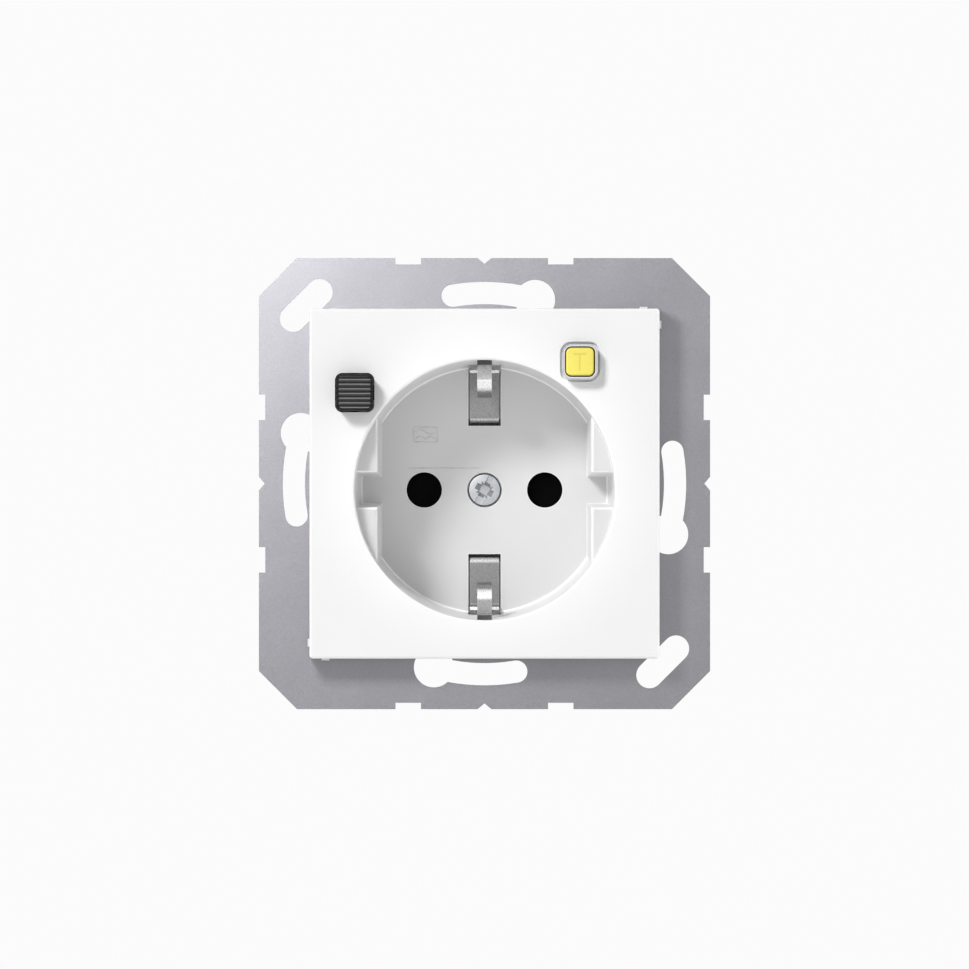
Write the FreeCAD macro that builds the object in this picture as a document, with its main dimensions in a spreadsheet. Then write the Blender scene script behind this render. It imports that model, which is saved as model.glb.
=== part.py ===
import FreeCAD, Part
import Sketcher
import math
import os

from FreeCAD import Placement, Rotation, Vector

# Residual current device socket: a wall insert of 71 mm with a side-earthed plug recess, a reset
# button, a test button and the residual current breaker behind. Millimetres. The origin is the
# middle of the support frame's back plane: the front faces -Y and +Z is up.

doc = FreeCAD.newDocument("residual_current_socket")

# Driving dimensions

DIMENSIONS = {
    # support frame
    "frame_side": 71.0,
    "frame_corner": 6.0,
    "frame_sheet": 1.0,
    "seat_step": 0.5,
    "seat_room": 0.8,
    "notch_width": 4.0,
    "notch_depth": 1.0,
    "notch_at": 12.0,
    "vee_width": 2.2,
    "vee_depth": 0.9,
    "slot_margin": 5.5,
    "slot_width": 3.5,
    "slot_lead": 9.6,
    "slot_tail": 15.4,
    "keyhole_bore": 6.3,
    "claw_slot_margin": 7.45,
    "claw_slot_width": 4.15,
    "claw_slot_spacing": 5.9,
    "frame_opening": 45.2,
    "reset_window": 7.0,
    "test_window": 6.0,
    # centre plate
    "plate_side": 55.0,
    "plate_height": 10.0,
    "plate_corner": 0.5,
    "face_round": 0.4,
    "plate_wall": 2.0,
    "face_wall": 2.2,
    "skirt_gap": 0.3,
    "nub_height": 0.3,
    "nub_width": 1.2,
    "nub_length": 3.5,
    "nub_rise": 1.5,
    "nub_at": 25.0,
    # plug recess
    "recess_drop": 1.0,
    "rim_bore": 41.0,
    "floor_bore": 39.0,
    "recess_depth": 17.5,
    "recess_wall": 1.3,
    "rim_round": 0.4,
    "floor_wall": 2.0,
    "floor_round": 0.5,
    "ledge_chord": 33.6,
    "ledge_depth": 2.8,
    "ledge_groove": 5.5,
    "ledge_draft": 2.4,
    "ledge_round": 0.5,
    "pin_pitch": 19.0,
    "pin_bore": 5.6,
    "cup_pocket": 43.0,
    # earth clips, with depths from the face
    "clip_width": 4.6,
    "clip_sheet": 0.5,
    "clip_bend": 0.8,
    "clip_foot_at": 10.75,
    "foot_length": 3.4,
    "clip_shoulder_at": 18.4,
    "clip_shoulder_depth": 13.0,
    "clip_rise": 2.0,
    "clip_nose_at": 14.9,
    "clip_waist_depth": 7.4,
    "clip_hump_depth": 3.6,
    "nose_bow": 0.4,
    "hump_drop": 0.9,
    "hump_lead": 1.8,
    "clip_tip_at": 20.25,
    "tongue_width": 2.3,
    "clip_side_gap": 0.25,
    "clip_end_gap": 0.4,
    "clip_window_depth": 8.0,
    "clip_wall_bite": 0.15,
    "tongue_gap": 0.1,
    "tongue_slot_front": 1.2,
    "tongue_slot_back": 6.0,
    "tongue_slot_reach": 21.1,
    # buttons
    "reset_across": 20.4,
    "reset_up": 14.3,
    "reset_side": 5.7,
    "reset_gap": 0.24,
    "reset_corner": 0.9,
    "reset_round": 0.35,
    "reset_proud": 3.3,
    "reset_rib_pitch": 0.73,
    "reset_rib_depth": 0.3,
    "reset_stem": 3.2,
    "reset_coil": 2.85,
    "stem_nose": 1.6,
    "stem_nose_width": 1.0,
    "chimney_wall": 1.0,
    "chimney_depth": 4.0,
    "test_across": 15.0,
    "test_up": 19.15,
    "test_side": 4.5,
    "test_gap": 0.17,
    "test_round": 0.35,
    "test_proud": 1.9,
    "test_stem": 2.4,
    "test_travel": 1.2,
    "test_corner": 0.9,
    "collar_wall": 0.35,
    "collar_height": 2.0,
    "moat_width": 0.4,
    "moat_depth": 0.6,
    "lip_reach": 0.6,
    "lip_wall": 0.9,
    "lip_width": 2.4,
    # base mouldings
    "base_side": 47.4,
    "base_corner": 7.0,
    "base_wall": 1.5,
    "rear_wall": 1.6,
    "deck_wall": 2.0,
    "rest_gap": 0.3,
    "boss_radius": 2.2,
    "board_rest": 3.2,
    "pillar_radius": 3.0,
    "ear_wall": 1.1,
    "lever_ear": 1.7,
    "latch_ear": 1.35,
    "cradle_half": 4.5,
    "cradle_rise": 2.0,
    # screws: the places leave room for the recess and the two buttons
    "corner_screw_at": 18.4,
    "side_screw_across": 20.6,
    "side_screw_up": 14.4,
    "top_screw_across": 15.5,
    "top_screw_up": 20.6,
    "assembly_thread": 2.5,
    "screw_head": 4.6,
    "screw_head_height": 1.3,
    "screw_cross": 3.0,
    "cross_width": 0.75,
    "head_crown": 0.2,
    "head_gap": 0.2,
    "slot_depth": 0.7,
    "cross_depth": 1.1,
    "driver_slot": 1.1,
    "screw_gap": 0.2,
    "press_gap": 0.02,
    "frame_screw_length": 8.0,
    "cover_screw_bite": 5.0,
    "centre_thread": 3.0,
    "centre_head": 5.12,
    "centre_head_height": 1.4,
    "centre_length": 9.0,
    "centre_slot_angle": 61.0,
    "centre_cross": 3.0,
    "centre_arm": 1.05,
    "thread_chamfer": 0.5,
    "insert_drop": 3.0,
    "insert_length": 5.0,
    "insert_bore": 4.2,
    # shutter
    "shutter_sheet": 2.0,
    "shutter_hub": 5.6,
    "shutter_reach": 13.0,
    "shutter_room": 0.6,
    "shutter_half_angle": 21.0,
    "running_gap": 0.05,
    "spring_wire": 0.4,
    "spring_groove": 1.3,
    "groove_wall": 0.6,
    # breaker mechanism
    "lever_pivot_across": 13.2,
    "lever_stand": 5.3,
    "lever_sheet": 2.0,
    "lever_pin": 1.5,
    "lever_collar": 1.1,
    "lever_margin": 1.9,
    "line_pole_up": 17.9,
    "neutral_pole_up": 12.2,
    "contact_across": 5.2,
    "contact_rivet": 1.8,
    "contact_shank": 1.2,
    "contact_height": 0.5,
    "fixed_height": 0.25,
    "blade_sheet": 0.5,
    "blade_width": 2.6,
    "blade_tail": 3.4,
    "blade_tip": 1.2,
    "riser_at": 1.0,
    "rivet_head": 0.4,
    "latch_across": 1.6,
    "latch_up": 16.5,
    "latch_width": 3.0,
    "latch_step": 2.4,
    "latch_sheet": 1.4,
    "latch_pin": 1.2,
    "latch_nose": 1.6,
    "latch_nose_flat": 0.8,
    "latch_hook": 1.2,
    "latch_coil": 0.9,
    "relay_at": 3.5,
    "relay_width": 9.6,
    "relay_depth": 9.0,
    "relay_height": 8.4,
    "relay_corner": 0.6,
    "plunger_room": 0.9,
    "plunger_bore": 1.8,
    "plunger_reach": 5.5,
    # summation transformer and leads
    "core_bore": 6.4,
    "core_outer": 14.0,
    "core_length": 5.0,
    "core_drop": 13.5,
    "core_stand": 4.1,
    "winding_wall": 0.6,
    "lead_wire": 1.6,
    "lead_spacing": 3.0,
    "lead_gap": 0.4,
    "lead_drop": 3.5,
    "lead_top": 6.5,
    "flex_wire": 1.2,
    "line_lead_step": 0.2,
    "neutral_lead_step": 1.4,
    # earth bridge
    "bridge_sheet": 0.8,
    "bridge_ring": 1.9,
    "strap_sheet": 0.5,
    "earth_tail_up": 3.0,
    "earth_tail_width": 2.0,
    "rivet_shank": 1.4,
    # tulip contacts
    "tulip_bore": 4.9,
    "tulip_wall": 0.85,
    "tulip_length": 10.0,
    "tulip_flare": 0.5,
    "tulip_ring": 1.5,
    "tulip_slit": 0.8,
    "fin_height": 1.7,
    "fin_length": 4.0,
    "tail_bite": 3.0,
    # terminals
    "cage_width": 8.4,
    "cage_height": 6.6,
    "cage_depth": 7.1,
    "cage_wall": 1.1,
    "cage_across": 8.5,
    "cage_inset": 1.3,
    "clamp_thread": 3.5,
    "clamp_head": 5.4,
    "clamp_head_height": 1.4,
    "clamp_sunk": 0.6,
    "well_bore": 6.0,
    "funnel_depth": 0.9,
    "funnel_flare": 0.8,
    "label_field": 13.0,
    "label_field_depth": 0.3,
    # test leaf
    "leaf_stand": 5.0,
    "leaf_sheet": 0.4,
    "leaf_width": 2.2,
    "leaf_root": 1.5,
    "test_contact": 1.4,
    # circuit board
    "board_room": 1.2,
    "board_sheet": 1.0,
    "board_margin": 0.6,
    "part_wire": 0.6,
    "wire_out": 1.6,
    "resistor_stand": 1.6,
    "resistor_up": 7.4,
    "resistor_at": 11.0,
    "resistor_length": 7.0,
    "resistor_bore": 2.0,
    "resistor_cap": 2.4,
    "arrester_across": 14.5,
    "arrester_drop": 11.0,
    "arrester_stand": 1.0,
    "arrester_sheet": 3.0,
    "arrester_bore": 6.8,
    "arrester_pins": 3.8,
}

sheet = doc.addObject("Spreadsheet::Sheet", "sizes")
for row, (name, amount) in enumerate(DIMENSIONS.items(), start=1):
    sheet.set(f"A{row}", name)
    sheet.set(f"B{row}", str(amount))
    sheet.setAlias(f"B{row}", name)
doc.recompute()


class Size:
    """A number together with the sheet expression that it comes from."""

    def __init__(self, value, text):
        self.value = float(value)
        self.text = text

    def __add__(self, other):
        other = as_size(other)
        return Size(self.value + other.value, f"({self.text} + {other.text})")

    def __radd__(self, other):
        return as_size(other) + self

    def __sub__(self, other):
        other = as_size(other)
        return Size(self.value - other.value, f"({self.text} - {other.text})")

    def __rsub__(self, other):
        return as_size(other) - self

    def __mul__(self, other):
        other = as_size(other)
        return Size(self.value * other.value, f"({self.text} * {other.text})")

    def __rmul__(self, other):
        return as_size(other) * self

    def __truediv__(self, other):
        other = as_size(other)
        return Size(self.value / other.value, f"({self.text} / {other.text})")

    def __neg__(self):
        return Size(-self.value, f"(0 - {self.text})")

    def __float__(self):
        return self.value


def as_size(amount):
    """A plain number becomes a Size whose expression is that number."""
    if isinstance(amount, Size):
        return amount
    return Size(amount, f"({amount:.6f})")


def cosine(angle):
    angle = as_size(angle)
    return Size(math.cos(math.radians(angle.value)), f"cos({angle.text})")


def sine(angle):
    angle = as_size(angle)
    return Size(math.sin(math.radians(angle.value)), f"sin({angle.text})")


class Names:
    """The sheet's cells as attributes."""


s = Names()
for name in DIMENSIONS:
    setattr(s, name, Size(sheet.get(name), f"sizes.{name}"))


# Ways of making a piece

def bind(thing, prop, amount):
    """A property follows the sheet."""
    thing.setExpression(prop, as_size(amount).text)


def bind_place(thing, place):
    for axis, amount in zip("xyz", place):
        bind(thing, f"Placement.Base.{axis}", amount)


def block(name, x, y, z):
    """A block between two bounds along each axis."""
    thing = doc.addObject("Part::Box", name)
    for prop, (low, high) in (("Length", x), ("Width", y), ("Height", z)):
        bind(thing, prop, as_size(high) - low)
    bind_place(thing, (x[0], y[0], z[0]))
    return thing


def square(name, place, depth, half):
    """A square block along the depth, centred on a place in the front view."""
    x, z = as_size(place[0]), as_size(place[1])
    return block(name, (x - half, x + half), depth, (z - half, z + half))


def wedge(name, depth, front, rear):
    """A block along the depth that tapers: its front and its rear are each an x and a z span."""
    thing = doc.addObject("Part::Wedge", name)
    for prop, span in (("Y", depth), ("X", front[0]), ("Z", front[1]), ("X2", rear[0]), ("Z2", rear[1])):
        bind(thing, f"{prop}min", span[0])
        bind(thing, f"{prop}max", span[1])
    return thing


def slanted(name, place, depth, length, width, angle):
    """A block along the depth, centred on a place and turned by an angle in the front view."""
    angle = as_size(angle)
    thing = block(name, (0, length), depth, (0, width))
    thing.Placement = Placement(Vector(), Rotation(Vector(0, 1, 0), -angle.value))
    bind_place(thing, (
        place[0] - length / 2 * cosine(angle) + width / 2 * sine(angle),
        depth[0],
        place[1] - length / 2 * sine(angle) - width / 2 * cosine(angle),
    ))
    return thing


def span_from(centre, side, low, high):
    """The span from low to high away from a centre, on its plus or its minus side."""
    if side > 0:
        return (centre + low, centre + high)
    return (centre - high, centre - low)


TURN_TO = {"x": Rotation(Vector(0, 1, 0), 90), "y": Rotation(Vector(1, 0, 0), -90), "z": Rotation()}


def start_of(along, centre, low):
    """The start point of a bar along one axis, with its other two coordinates in x, y, z order."""
    place = list(centre)
    place.insert("xyz".index(along), low)
    return place


def bar(name, along, centre, span, radius):
    """A round bar along one axis."""
    thing = doc.addObject("Part::Cylinder", name)
    bind(thing, "Radius", radius)
    bind(thing, "Height", as_size(span[1]) - span[0])
    thing.Placement = Placement(Vector(), TURN_TO[along])
    bind_place(thing, start_of(along, centre, span[0]))
    return thing


def taper(name, along, centre, span, radii):
    """A round bar whose radius changes evenly from one end to the other."""
    thing = doc.addObject("Part::Cone", name)
    bind(thing, "Radius1", radii[0])
    bind(thing, "Radius2", radii[1])
    bind(thing, "Height", as_size(span[1]) - span[0])
    thing.Placement = Placement(Vector(), TURN_TO[along])
    bind_place(thing, start_of(along, centre, span[0]))
    return thing


def join(name, *shapes):
    thing = doc.addObject("Part::MultiFuse", name)
    thing.Shapes = list(shapes)
    thing.Refine = True
    return thing


def cut(name, base, *tools):
    """The base less all the tools."""
    thing = doc.addObject("Part::Cut", name)
    thing.Base = base
    thing.Tool = tools[0] if len(tools) == 1 else join(name + "_tools", *tools)
    thing.Refine = True
    return thing


def overlap(name, first, second):
    thing = doc.addObject("Part::Common", name)
    thing.Base = first
    thing.Tool = second
    return thing


def rounded(name, base, radius, pick):
    """Rounds the edges that pick accepts."""
    doc.recompute()
    thing = doc.addObject("Part::Fillet", name)
    thing.Base = base
    radius = float(radius)
    chosen = [n for n, edge in enumerate(base.Shape.Edges, start=1) if pick(edge)]
    if not chosen:
        raise ValueError(f"{name} finds no edge to round")
    thing.Edges = [(n, radius, radius) for n in chosen]
    return thing


def new_body(name, place=(0, 0, 0)):
    body = doc.addObject("PartDesign::Body", name)
    bind_place(body, place)
    return body


def datum(body, role):
    """One of the body's own origin planes or axes."""
    return next(f for f in body.Origin.OriginFeatures if f.Role == role)


def corners(centre_x, centre_y, width, height):
    """A rectangle's corner points about its centre."""
    half_w, half_h = as_size(width) / 2, as_size(height) / 2
    signs = ((-1, -1), (1, -1), (1, 1), (-1, 1))
    return [(as_size(centre_x) + half_w * i, as_size(centre_y) + half_h * j) for i, j in signs]


def draw(body, plane, at, loops):
    """A sketch on an origin plane, moved along its normal. A loop is corner points or a circle."""
    sketch = body.newObject("Sketcher::SketchObject", body.Name + "_sketch")
    sketch.AttachmentSupport = [(datum(body, plane + "_Plane"), "")]
    sketch.MapMode = "FlatFace"
    bind(sketch, "AttachmentOffset.Base.z", at)
    for loop in loops:
        if loop[0] == "circle":
            draw_circle(sketch, *loop[1:])
        else:
            draw_corners(sketch, loop)
    return sketch


def tie(sketch, kind, refs, amount):
    """A dimension of a sketch follows the sheet."""
    amount = as_size(amount)
    index = sketch.addConstraint(Sketcher.Constraint(kind, *refs, amount.value))
    sketch.setExpression(f"Constraints[{index}]", amount.text)


def draw_circle(sketch, x, y, radius):
    x, y, radius = as_size(x), as_size(y), as_size(radius)
    circle = Part.Circle(Vector(x.value, y.value), Vector(0, 0, 1), radius.value)
    curve = sketch.addGeometry(circle, False)
    tie(sketch, "Radius", (curve,), radius)
    tie(sketch, "DistanceX", (-1, 1, curve, 3), x)
    tie(sketch, "DistanceY", (-1, 1, curve, 3), y)


def draw_corners(sketch, points):
    points = [(as_size(x), as_size(y)) for x, y in points]
    lines = []
    for here, there in zip(points, points[1:] + points[:1]):
        start = Vector(here[0].value, here[1].value)
        end = Vector(there[0].value, there[1].value)
        lines.append(sketch.addGeometry(Part.LineSegment(start, end), False))
    for line, after in zip(lines, lines[1:] + lines[:1]):
        sketch.addConstraint(Sketcher.Constraint("Coincident", line, 2, after, 1))
    for line, (x, y) in zip(lines, points):
        tie(sketch, "DistanceX", (-1, 1, line, 1), x)
        tie(sketch, "DistanceY", (-1, 1, line, 1), y)


# A sketch's normal runs along -Y on the XZ plane, +X on the YZ plane and +Z on the XY plane, so a
# pad grows from the bound that lies behind along it and a pocket cuts from the bound ahead.

def pad(body, plane, span, *loops):
    low, high = (as_size(bound) for bound in span)
    pad_from = -high if plane == "XZ" else low
    feature = body.newObject("PartDesign::Pad", body.Name + "_pad")
    feature.Profile = draw(body, plane, pad_from, loops)
    bind(feature, "Length", high - low)
    doc.recompute()
    return feature


def pocket(body, plane, span, *loops):
    low, high = (as_size(bound) for bound in span)
    before = body.Shape.Volume
    feature = body.newObject("PartDesign::Pocket", body.Name + "_pocket")
    feature.Profile = draw(body, plane, -low if plane == "XZ" else high, loops)
    bind(feature, "Length", high - low)
    doc.recompute()
    if body.Shape.Volume >= before - 1e-6:
        raise ValueError(f"a pocket of {body.Name} cuts nothing")
    return feature


def turned(body, plane, axis, *loops):
    """A revolution about one of the body's own axes."""
    feature = body.newObject("PartDesign::Revolution", body.Name + "_turned")
    feature.Profile = draw(body, plane, 0, loops)
    feature.ReferenceAxis = (datum(body, axis + "_Axis"), [""])
    feature.Angle = 360
    doc.recompute()
    return feature


def around(body, features, axis, count):
    """Copies of features evenly round one of the body's axes."""
    pattern = body.newObject("PartDesign::PolarPattern", body.Name + "_around")
    pattern.Originals = features
    pattern.Axis = (datum(body, axis + "_Axis"), [""])
    pattern.Angle = 360
    pattern.Occurrences = count
    body.Tip = pattern
    doc.recompute()
    return pattern


def round_edges(body, radius, pick):
    """Rounds the body's edges that pick accepts."""
    doc.recompute()
    base = body.Tip
    feature = body.newObject("PartDesign::Fillet", body.Name + "_round")
    chosen = [f"Edge{n}" for n, edge in enumerate(base.Shape.Edges, start=1) if pick(edge)]
    if not chosen:
        raise ValueError(f"{body.Name} has no such edge to round")
    feature.Base = (base, chosen)
    bind(feature, "Radius", radius)
    doc.recompute()
    return feature


def runs_along(axis):
    """Picks straight edges along one axis."""
    def pick(edge):
        if edge.Curve.TypeId != "Part::GeomLine":
            return False
        direction = edge.tangentAt(edge.FirstParameter)
        return abs(abs(getattr(direction, axis)) - 1) < 1e-6
    return pick


def lies_at(**place):
    """Picks edges whose middle has the given coordinates."""
    def pick(edge):
        middle = edge.CenterOfMass
        return all(abs(getattr(middle, axis) - float(at)) < 1e-4 for axis, at in place.items())
    return pick


def circles(radius, y):
    """Picks round edges of one radius at one depth."""
    at_depth = lies_at(y=y)

    def pick(edge):
        is_round = edge.Curve.TypeId == "Part::GeomCircle"
        return is_round and abs(edge.Curve.Radius - float(radius)) < 1e-4 and at_depth(edge)
    return pick


def any_of(*picks):
    return lambda edge: any(pick(edge) for pick in picks)


def from_shape(name, shape, place=None):
    thing = doc.addObject("Part::Feature", name)
    thing.Shape = shape
    thing.Placement = place or Placement()
    return thing


PARTS = []


def piece(name, thing):
    """Names a finished sub-part."""
    thing.Label = name
    PARTS.append(thing)
    return thing


# Levels from front to back and places across that several pieces share

OVER = 1.0  # a cutting tool reaches this far past what it cuts
BITE = 0.5  # joined blocks reach this far into each other

face_y = -s.plate_height
floor_y = face_y + s.recess_depth
floor_back = floor_y + s.floor_wall
shutter_front = floor_back + s.rest_gap
shutter_back = shutter_front + s.shutter_sheet
deck_front = shutter_back + s.rest_gap
deck_back = deck_front + s.deck_wall
pivot_y = deck_back + s.lever_stand
latch_y = pivot_y + s.latch_step
core_at = deck_back + s.core_stand
core_front = core_at - s.winding_wall
core_back = core_at + s.core_length + s.winding_wall
board_at = core_back + s.lead_gap + s.lead_wire + s.board_room
board_back = board_at + s.board_sheet
plunger_y = board_at - s.plunger_room - s.plunger_bore / 2
cage_front = board_back + s.rest_gap
cage_back = cage_front + s.cage_depth
base_back = cage_back + s.rear_wall
seat_y = -s.seat_step
frame_front = -s.frame_sheet - s.seat_step
seat_side = s.base_side + 2 * s.seat_room
base_half = s.base_side / 2
inner_half = base_half - s.base_wall
recess_z = -s.recess_drop
recess_centre = (0, recess_z)
pin_x = s.pin_pitch / 2
reset_place = (-s.reset_across, s.reset_up)
test_place = (s.test_across, s.test_up)
insert_front = floor_back + s.insert_drop
insert_back = insert_front + s.insert_length
lever_z = (s.neutral_pole_up - s.lever_margin, s.line_pole_up + s.lever_margin)
latch_z = (s.latch_up - s.latch_width / 2, s.latch_up + s.latch_width / 2)
rivet_at = s.clip_foot_at - s.foot_length + s.rivet_shank * 0.65
fin_low = recess_z - s.tulip_bore / 2 - s.tulip_wall - s.fin_height
core_z = -s.core_drop
winding_radius = s.core_outer / 2 + s.winding_wall

SCREW_PLACES = (
    (-s.corner_screw_at, -s.corner_screw_at),
    (s.corner_screw_at, -s.corner_screw_at),
    (s.side_screw_across, s.side_screw_up),
    (-s.top_screw_across, s.top_screw_up),
)
# The pan's screws stand behind three of them: the lever fills the fourth corner
COVER_SCREW_PLACES = SCREW_PLACES[:3]


def cut_square(half, corner):
    """A square with cut corners."""
    near = half - corner
    return [
        (near, -half), (half, -near), (half, near), (near, half),
        (-near, half), (-half, near), (-half, -near), (-near, -half),
    ]


# Support frame: zinc-plated sheet whose middle is pressed forward as the seat of the base

def make_frame_blank():
    body = new_body("frame_blank")
    half = s.frame_side / 2
    sheet_y = (-s.frame_sheet, 0)
    through = (frame_front, 0)
    pad(body, "XZ", sheet_y, cut_square(half, s.frame_corner))
    pocket(body, "XZ", sheet_y, corners(0, 0, seat_side, seat_side))
    seat_outer = seat_side + 2 * s.seat_step
    pad(body, "XZ", (frame_front, seat_y), corners(0, 0, seat_outer, seat_outer))
    pocket(body, "XZ", through, ("circle", *recess_centre, s.frame_opening / 2))
    pocket(body, "XZ", through, ("circle", *reset_place, s.reset_window / 2))
    pocket(body, "XZ", through, ("circle", *test_place, s.test_window / 2))
    for x, z in SCREW_PLACES:
        pocket(body, "XZ", through, ("circle", x, z, s.assembly_thread / 2 + s.screw_gap))
    edge_cuts = []
    for side in (-1, 1):
        notch = corners(s.notch_at * side, half, s.notch_width, 2 * s.notch_depth)
        edge_cuts.append(pocket(body, "XZ", sheet_y, notch))
    vee = [(-s.vee_width / 2, half + 0.01), (0, half - s.vee_depth), (s.vee_width / 2, half + 0.01)]
    edge_cuts.append(pocket(body, "XZ", sheet_y, vee))
    around(body, edge_cuts, "Y", 4)
    return body


def arc_slot(quarter):
    """The tools of one screw slot on the screw circle: a band, its small end and its keyhole end."""
    radius = s.frame_side / 2 - s.slot_margin
    small_end = 90 + s.slot_lead + 90 * quarter
    key_end = 90 - s.slot_tail + 90 * quarter
    depth = (-s.frame_sheet - OVER, OVER)
    bands = []
    for edge in (1, -1):
        band = bar(f"slot{quarter}_band{edge + 1}", "y", (0, 0), depth, radius + s.slot_width / 2 * edge)
        bind(band, "Angle", s.slot_lead + s.slot_tail)
        bands.append(band)
    ring = cut(f"slot{quarter}_ring", *bands)
    doc.recompute()
    ring.Placement = Placement(Vector(), Rotation(Vector(0, 1, 0), -small_end.value))
    ends = [
        bar(f"slot{quarter}_{end}", "y", (radius * cosine(angle), radius * sine(angle)), depth, bore / 2)
        for end, angle, bore in (("small", small_end, s.slot_width), ("key", key_end, s.keyhole_bore))
    ]
    return [ring, *ends]


def claw_slot(number, side):
    """The tools of one tangential slot, at the top left or the bottom right corner."""
    depth = (-s.frame_sheet - OVER, OVER)
    at = s.frame_side / 2 - s.claw_slot_margin
    x, z = -at * side, at * side
    reach = s.claw_slot_spacing / 2 * cosine(45)
    half_width = s.claw_slot_width / 2
    ends = [
        bar(f"claw{number}_end{end + 1}", "y", (x + reach * end, z + reach * end), depth, half_width)
        for end in (-1, 1)
    ]
    return [slanted(f"claw{number}", (x, z), depth, s.claw_slot_spacing, s.claw_slot_width, 45), *ends]


frame_blank = make_frame_blank()
frame_slots = [tool for quarter in range(4) for tool in arc_slot(quarter)]
piece("support_frame", cut("frame_cut", frame_blank, *frame_slots, *claw_slot(0, 1), *claw_slot(1, -1)))


# Centre plate: square cap with the drafted recess, its side ledges and the test button's collar.
# The skirt ends just off the frame, and the cup's floor rests in the base.

def recess_radius(y):
    """The drafted wall's radius at a depth."""
    share = (as_size(y) - face_y) / s.recess_depth
    return s.rim_bore / 2 - (s.rim_bore - s.floor_bore) / 2 * share


def plate_shell():
    """The hollow cap, with four nubs that centre a cover frame round it."""
    half = s.plate_side / 2
    skirt_y = -s.frame_sheet - s.skirt_gap
    cap = block("plate_block", (-half, half), (face_y, skirt_y), (-half, half))
    cap = rounded("plate_sides", cap, s.plate_corner, runs_along("y"))
    cap = rounded("plate_face", cap, s.face_round, lies_at(y=face_y))
    cavity = square("plate_cavity", (0, 0), (face_y + s.face_wall, OVER), half - s.plate_wall)
    nub_y = (skirt_y - s.nub_rise - s.nub_length, skirt_y - s.nub_rise)
    nubs = []
    for side in (1, -1):
        along = span_from(0, side, s.nub_at - s.nub_width / 2, s.nub_at + s.nub_width / 2)
        out = span_from(0, side, half - BITE, half + s.nub_height)
        nubs.append(block(f"nub_level{side + 1}", along, nub_y, out))
        nubs.append(block(f"nub_upright{side + 1}", out, nub_y, along))
    return join("plate_with_nubs", cut("plate_shell", cap, cavity), *nubs)


def recess_tool():
    """The room of the recess: all of it but the four ledges, which stand beside their grooves."""
    cone = taper("recess_cone", "y", recess_centre, (face_y, floor_y), (s.rim_bore / 2, s.floor_bore / 2))
    room = rounded("recess_cone_round", cone, s.floor_round, circles(s.floor_bore / 2, y=floor_y))
    top, foot = face_y + s.ledge_depth, floor_y + OVER
    chord, groove = s.ledge_chord / 2, s.ledge_groove / 2
    # a ledge grows towards the floor by its draft
    growth = (foot - top) * sine(s.ledge_draft) / cosine(s.ledge_draft)
    outer = s.rim_bore / 2 + OVER
    ledges = []
    for side in (-1, 1):
        for up in (-1, 1):
            stock = wedge(
                f"ledge{side + 1}{up + 1}_block",
                (top, foot),
                (span_from(0, side, chord, outer), span_from(recess_z, up, groove, outer)),
                (span_from(0, side, chord - growth, outer), span_from(recess_z, up, groove - growth, outer)),
            )
            picks = (lies_at(x=chord * side, y=top), lies_at(y=top, z=recess_z + groove * up))
            ledges.append(rounded(f"ledge{side + 1}{up + 1}", stock, s.ledge_round, any_of(*picks)))
    return cut("recess_room", room, *ledges)


def clip_tools(up):
    """What one earth clip passes through: a window in floor and wall, and a slot for its tongue."""
    near = s.clip_foot_at - s.clip_sheet / 2 - s.clip_end_gap
    half = s.clip_width / 2 + s.clip_side_gap
    slot_half = s.tongue_width / 2 + s.tongue_gap
    window_y = (face_y + s.clip_window_depth, floor_back + OVER)
    slot_y = (face_y + s.tongue_slot_front, face_y + s.tongue_slot_back)
    return [
        block(f"clip_window{up + 1}", (-half, half), window_y,
              span_from(recess_z, up, near, s.floor_bore / 2 + s.clip_wall_bite)),
        block(f"tongue_slot{up + 1}", (-slot_half, slot_half), slot_y,
              span_from(recess_z, up, near, s.tongue_slot_reach)),
    ]


def make_centre_plate():
    cup = taper("cup", "y", recess_centre, (face_y + OVER, floor_back), (
        recess_radius(face_y + OVER) + s.recess_wall,
        recess_radius(floor_back) + s.recess_wall,
    ))
    reset_half = s.reset_side / 2 + s.reset_gap
    test_half = s.test_side / 2 + s.test_gap
    chimney_half = reset_half + s.chimney_wall
    chimney = square("reset_chimney", reset_place, (face_y + OVER, face_y + s.chimney_depth), chimney_half)
    hole_corner = s.test_corner + s.test_gap
    collar = square("collar_block", test_place, (face_y - s.collar_height, face_y + OVER),
                    test_half + s.collar_wall)
    collar = rounded("collar", collar, hole_corner + s.collar_wall, runs_along("y"))
    moat = square("moat_block", test_place, (face_y - OVER, face_y + s.moat_depth),
                  test_half + s.collar_wall + s.moat_width)
    moat = rounded("moat", moat, hole_corner + s.collar_wall + s.moat_width, runs_along("y"))
    shell = cut("plate_shell_moated", plate_shell(), moat)
    through = (floor_y - OVER, floor_back + OVER)
    seat = (floor_y - OVER, floor_y + s.centre_head_height)
    tools = [
        recess_tool(),
        *clip_tools(1),
        *clip_tools(-1),
        bar("pin_hole_left", "y", (-pin_x, recess_z), through, s.pin_bore / 2),
        bar("pin_hole_right", "y", (pin_x, recess_z), through, s.pin_bore / 2),
        bar("head_seat", "y", recess_centre, seat, s.centre_head / 2 + s.head_gap),
        bar("screw_hole", "y", recess_centre, through, s.centre_thread / 2 + s.head_gap),
    ]
    for name, place, half, corner in (
        ("reset_hole", reset_place, reset_half, s.reset_corner + s.reset_gap),
        ("test_hole", test_place, test_half, hole_corner),
    ):
        hole = square(f"{name}_block", place, (face_y - s.collar_height - OVER, 0), half)
        tools.append(rounded(name, hole, corner, runs_along("y")))
    plate = cut("plate_cut", join("plate_solid", shell, cup, chimney, collar), *tools)
    return rounded("plate_rim", plate, s.rim_round, circles(s.rim_bore / 2, y=face_y))


piece("centre_plate", make_centre_plate())


# Centre screw: slot and cross in a flat head, with its thread in the brass insert of the base

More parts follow.
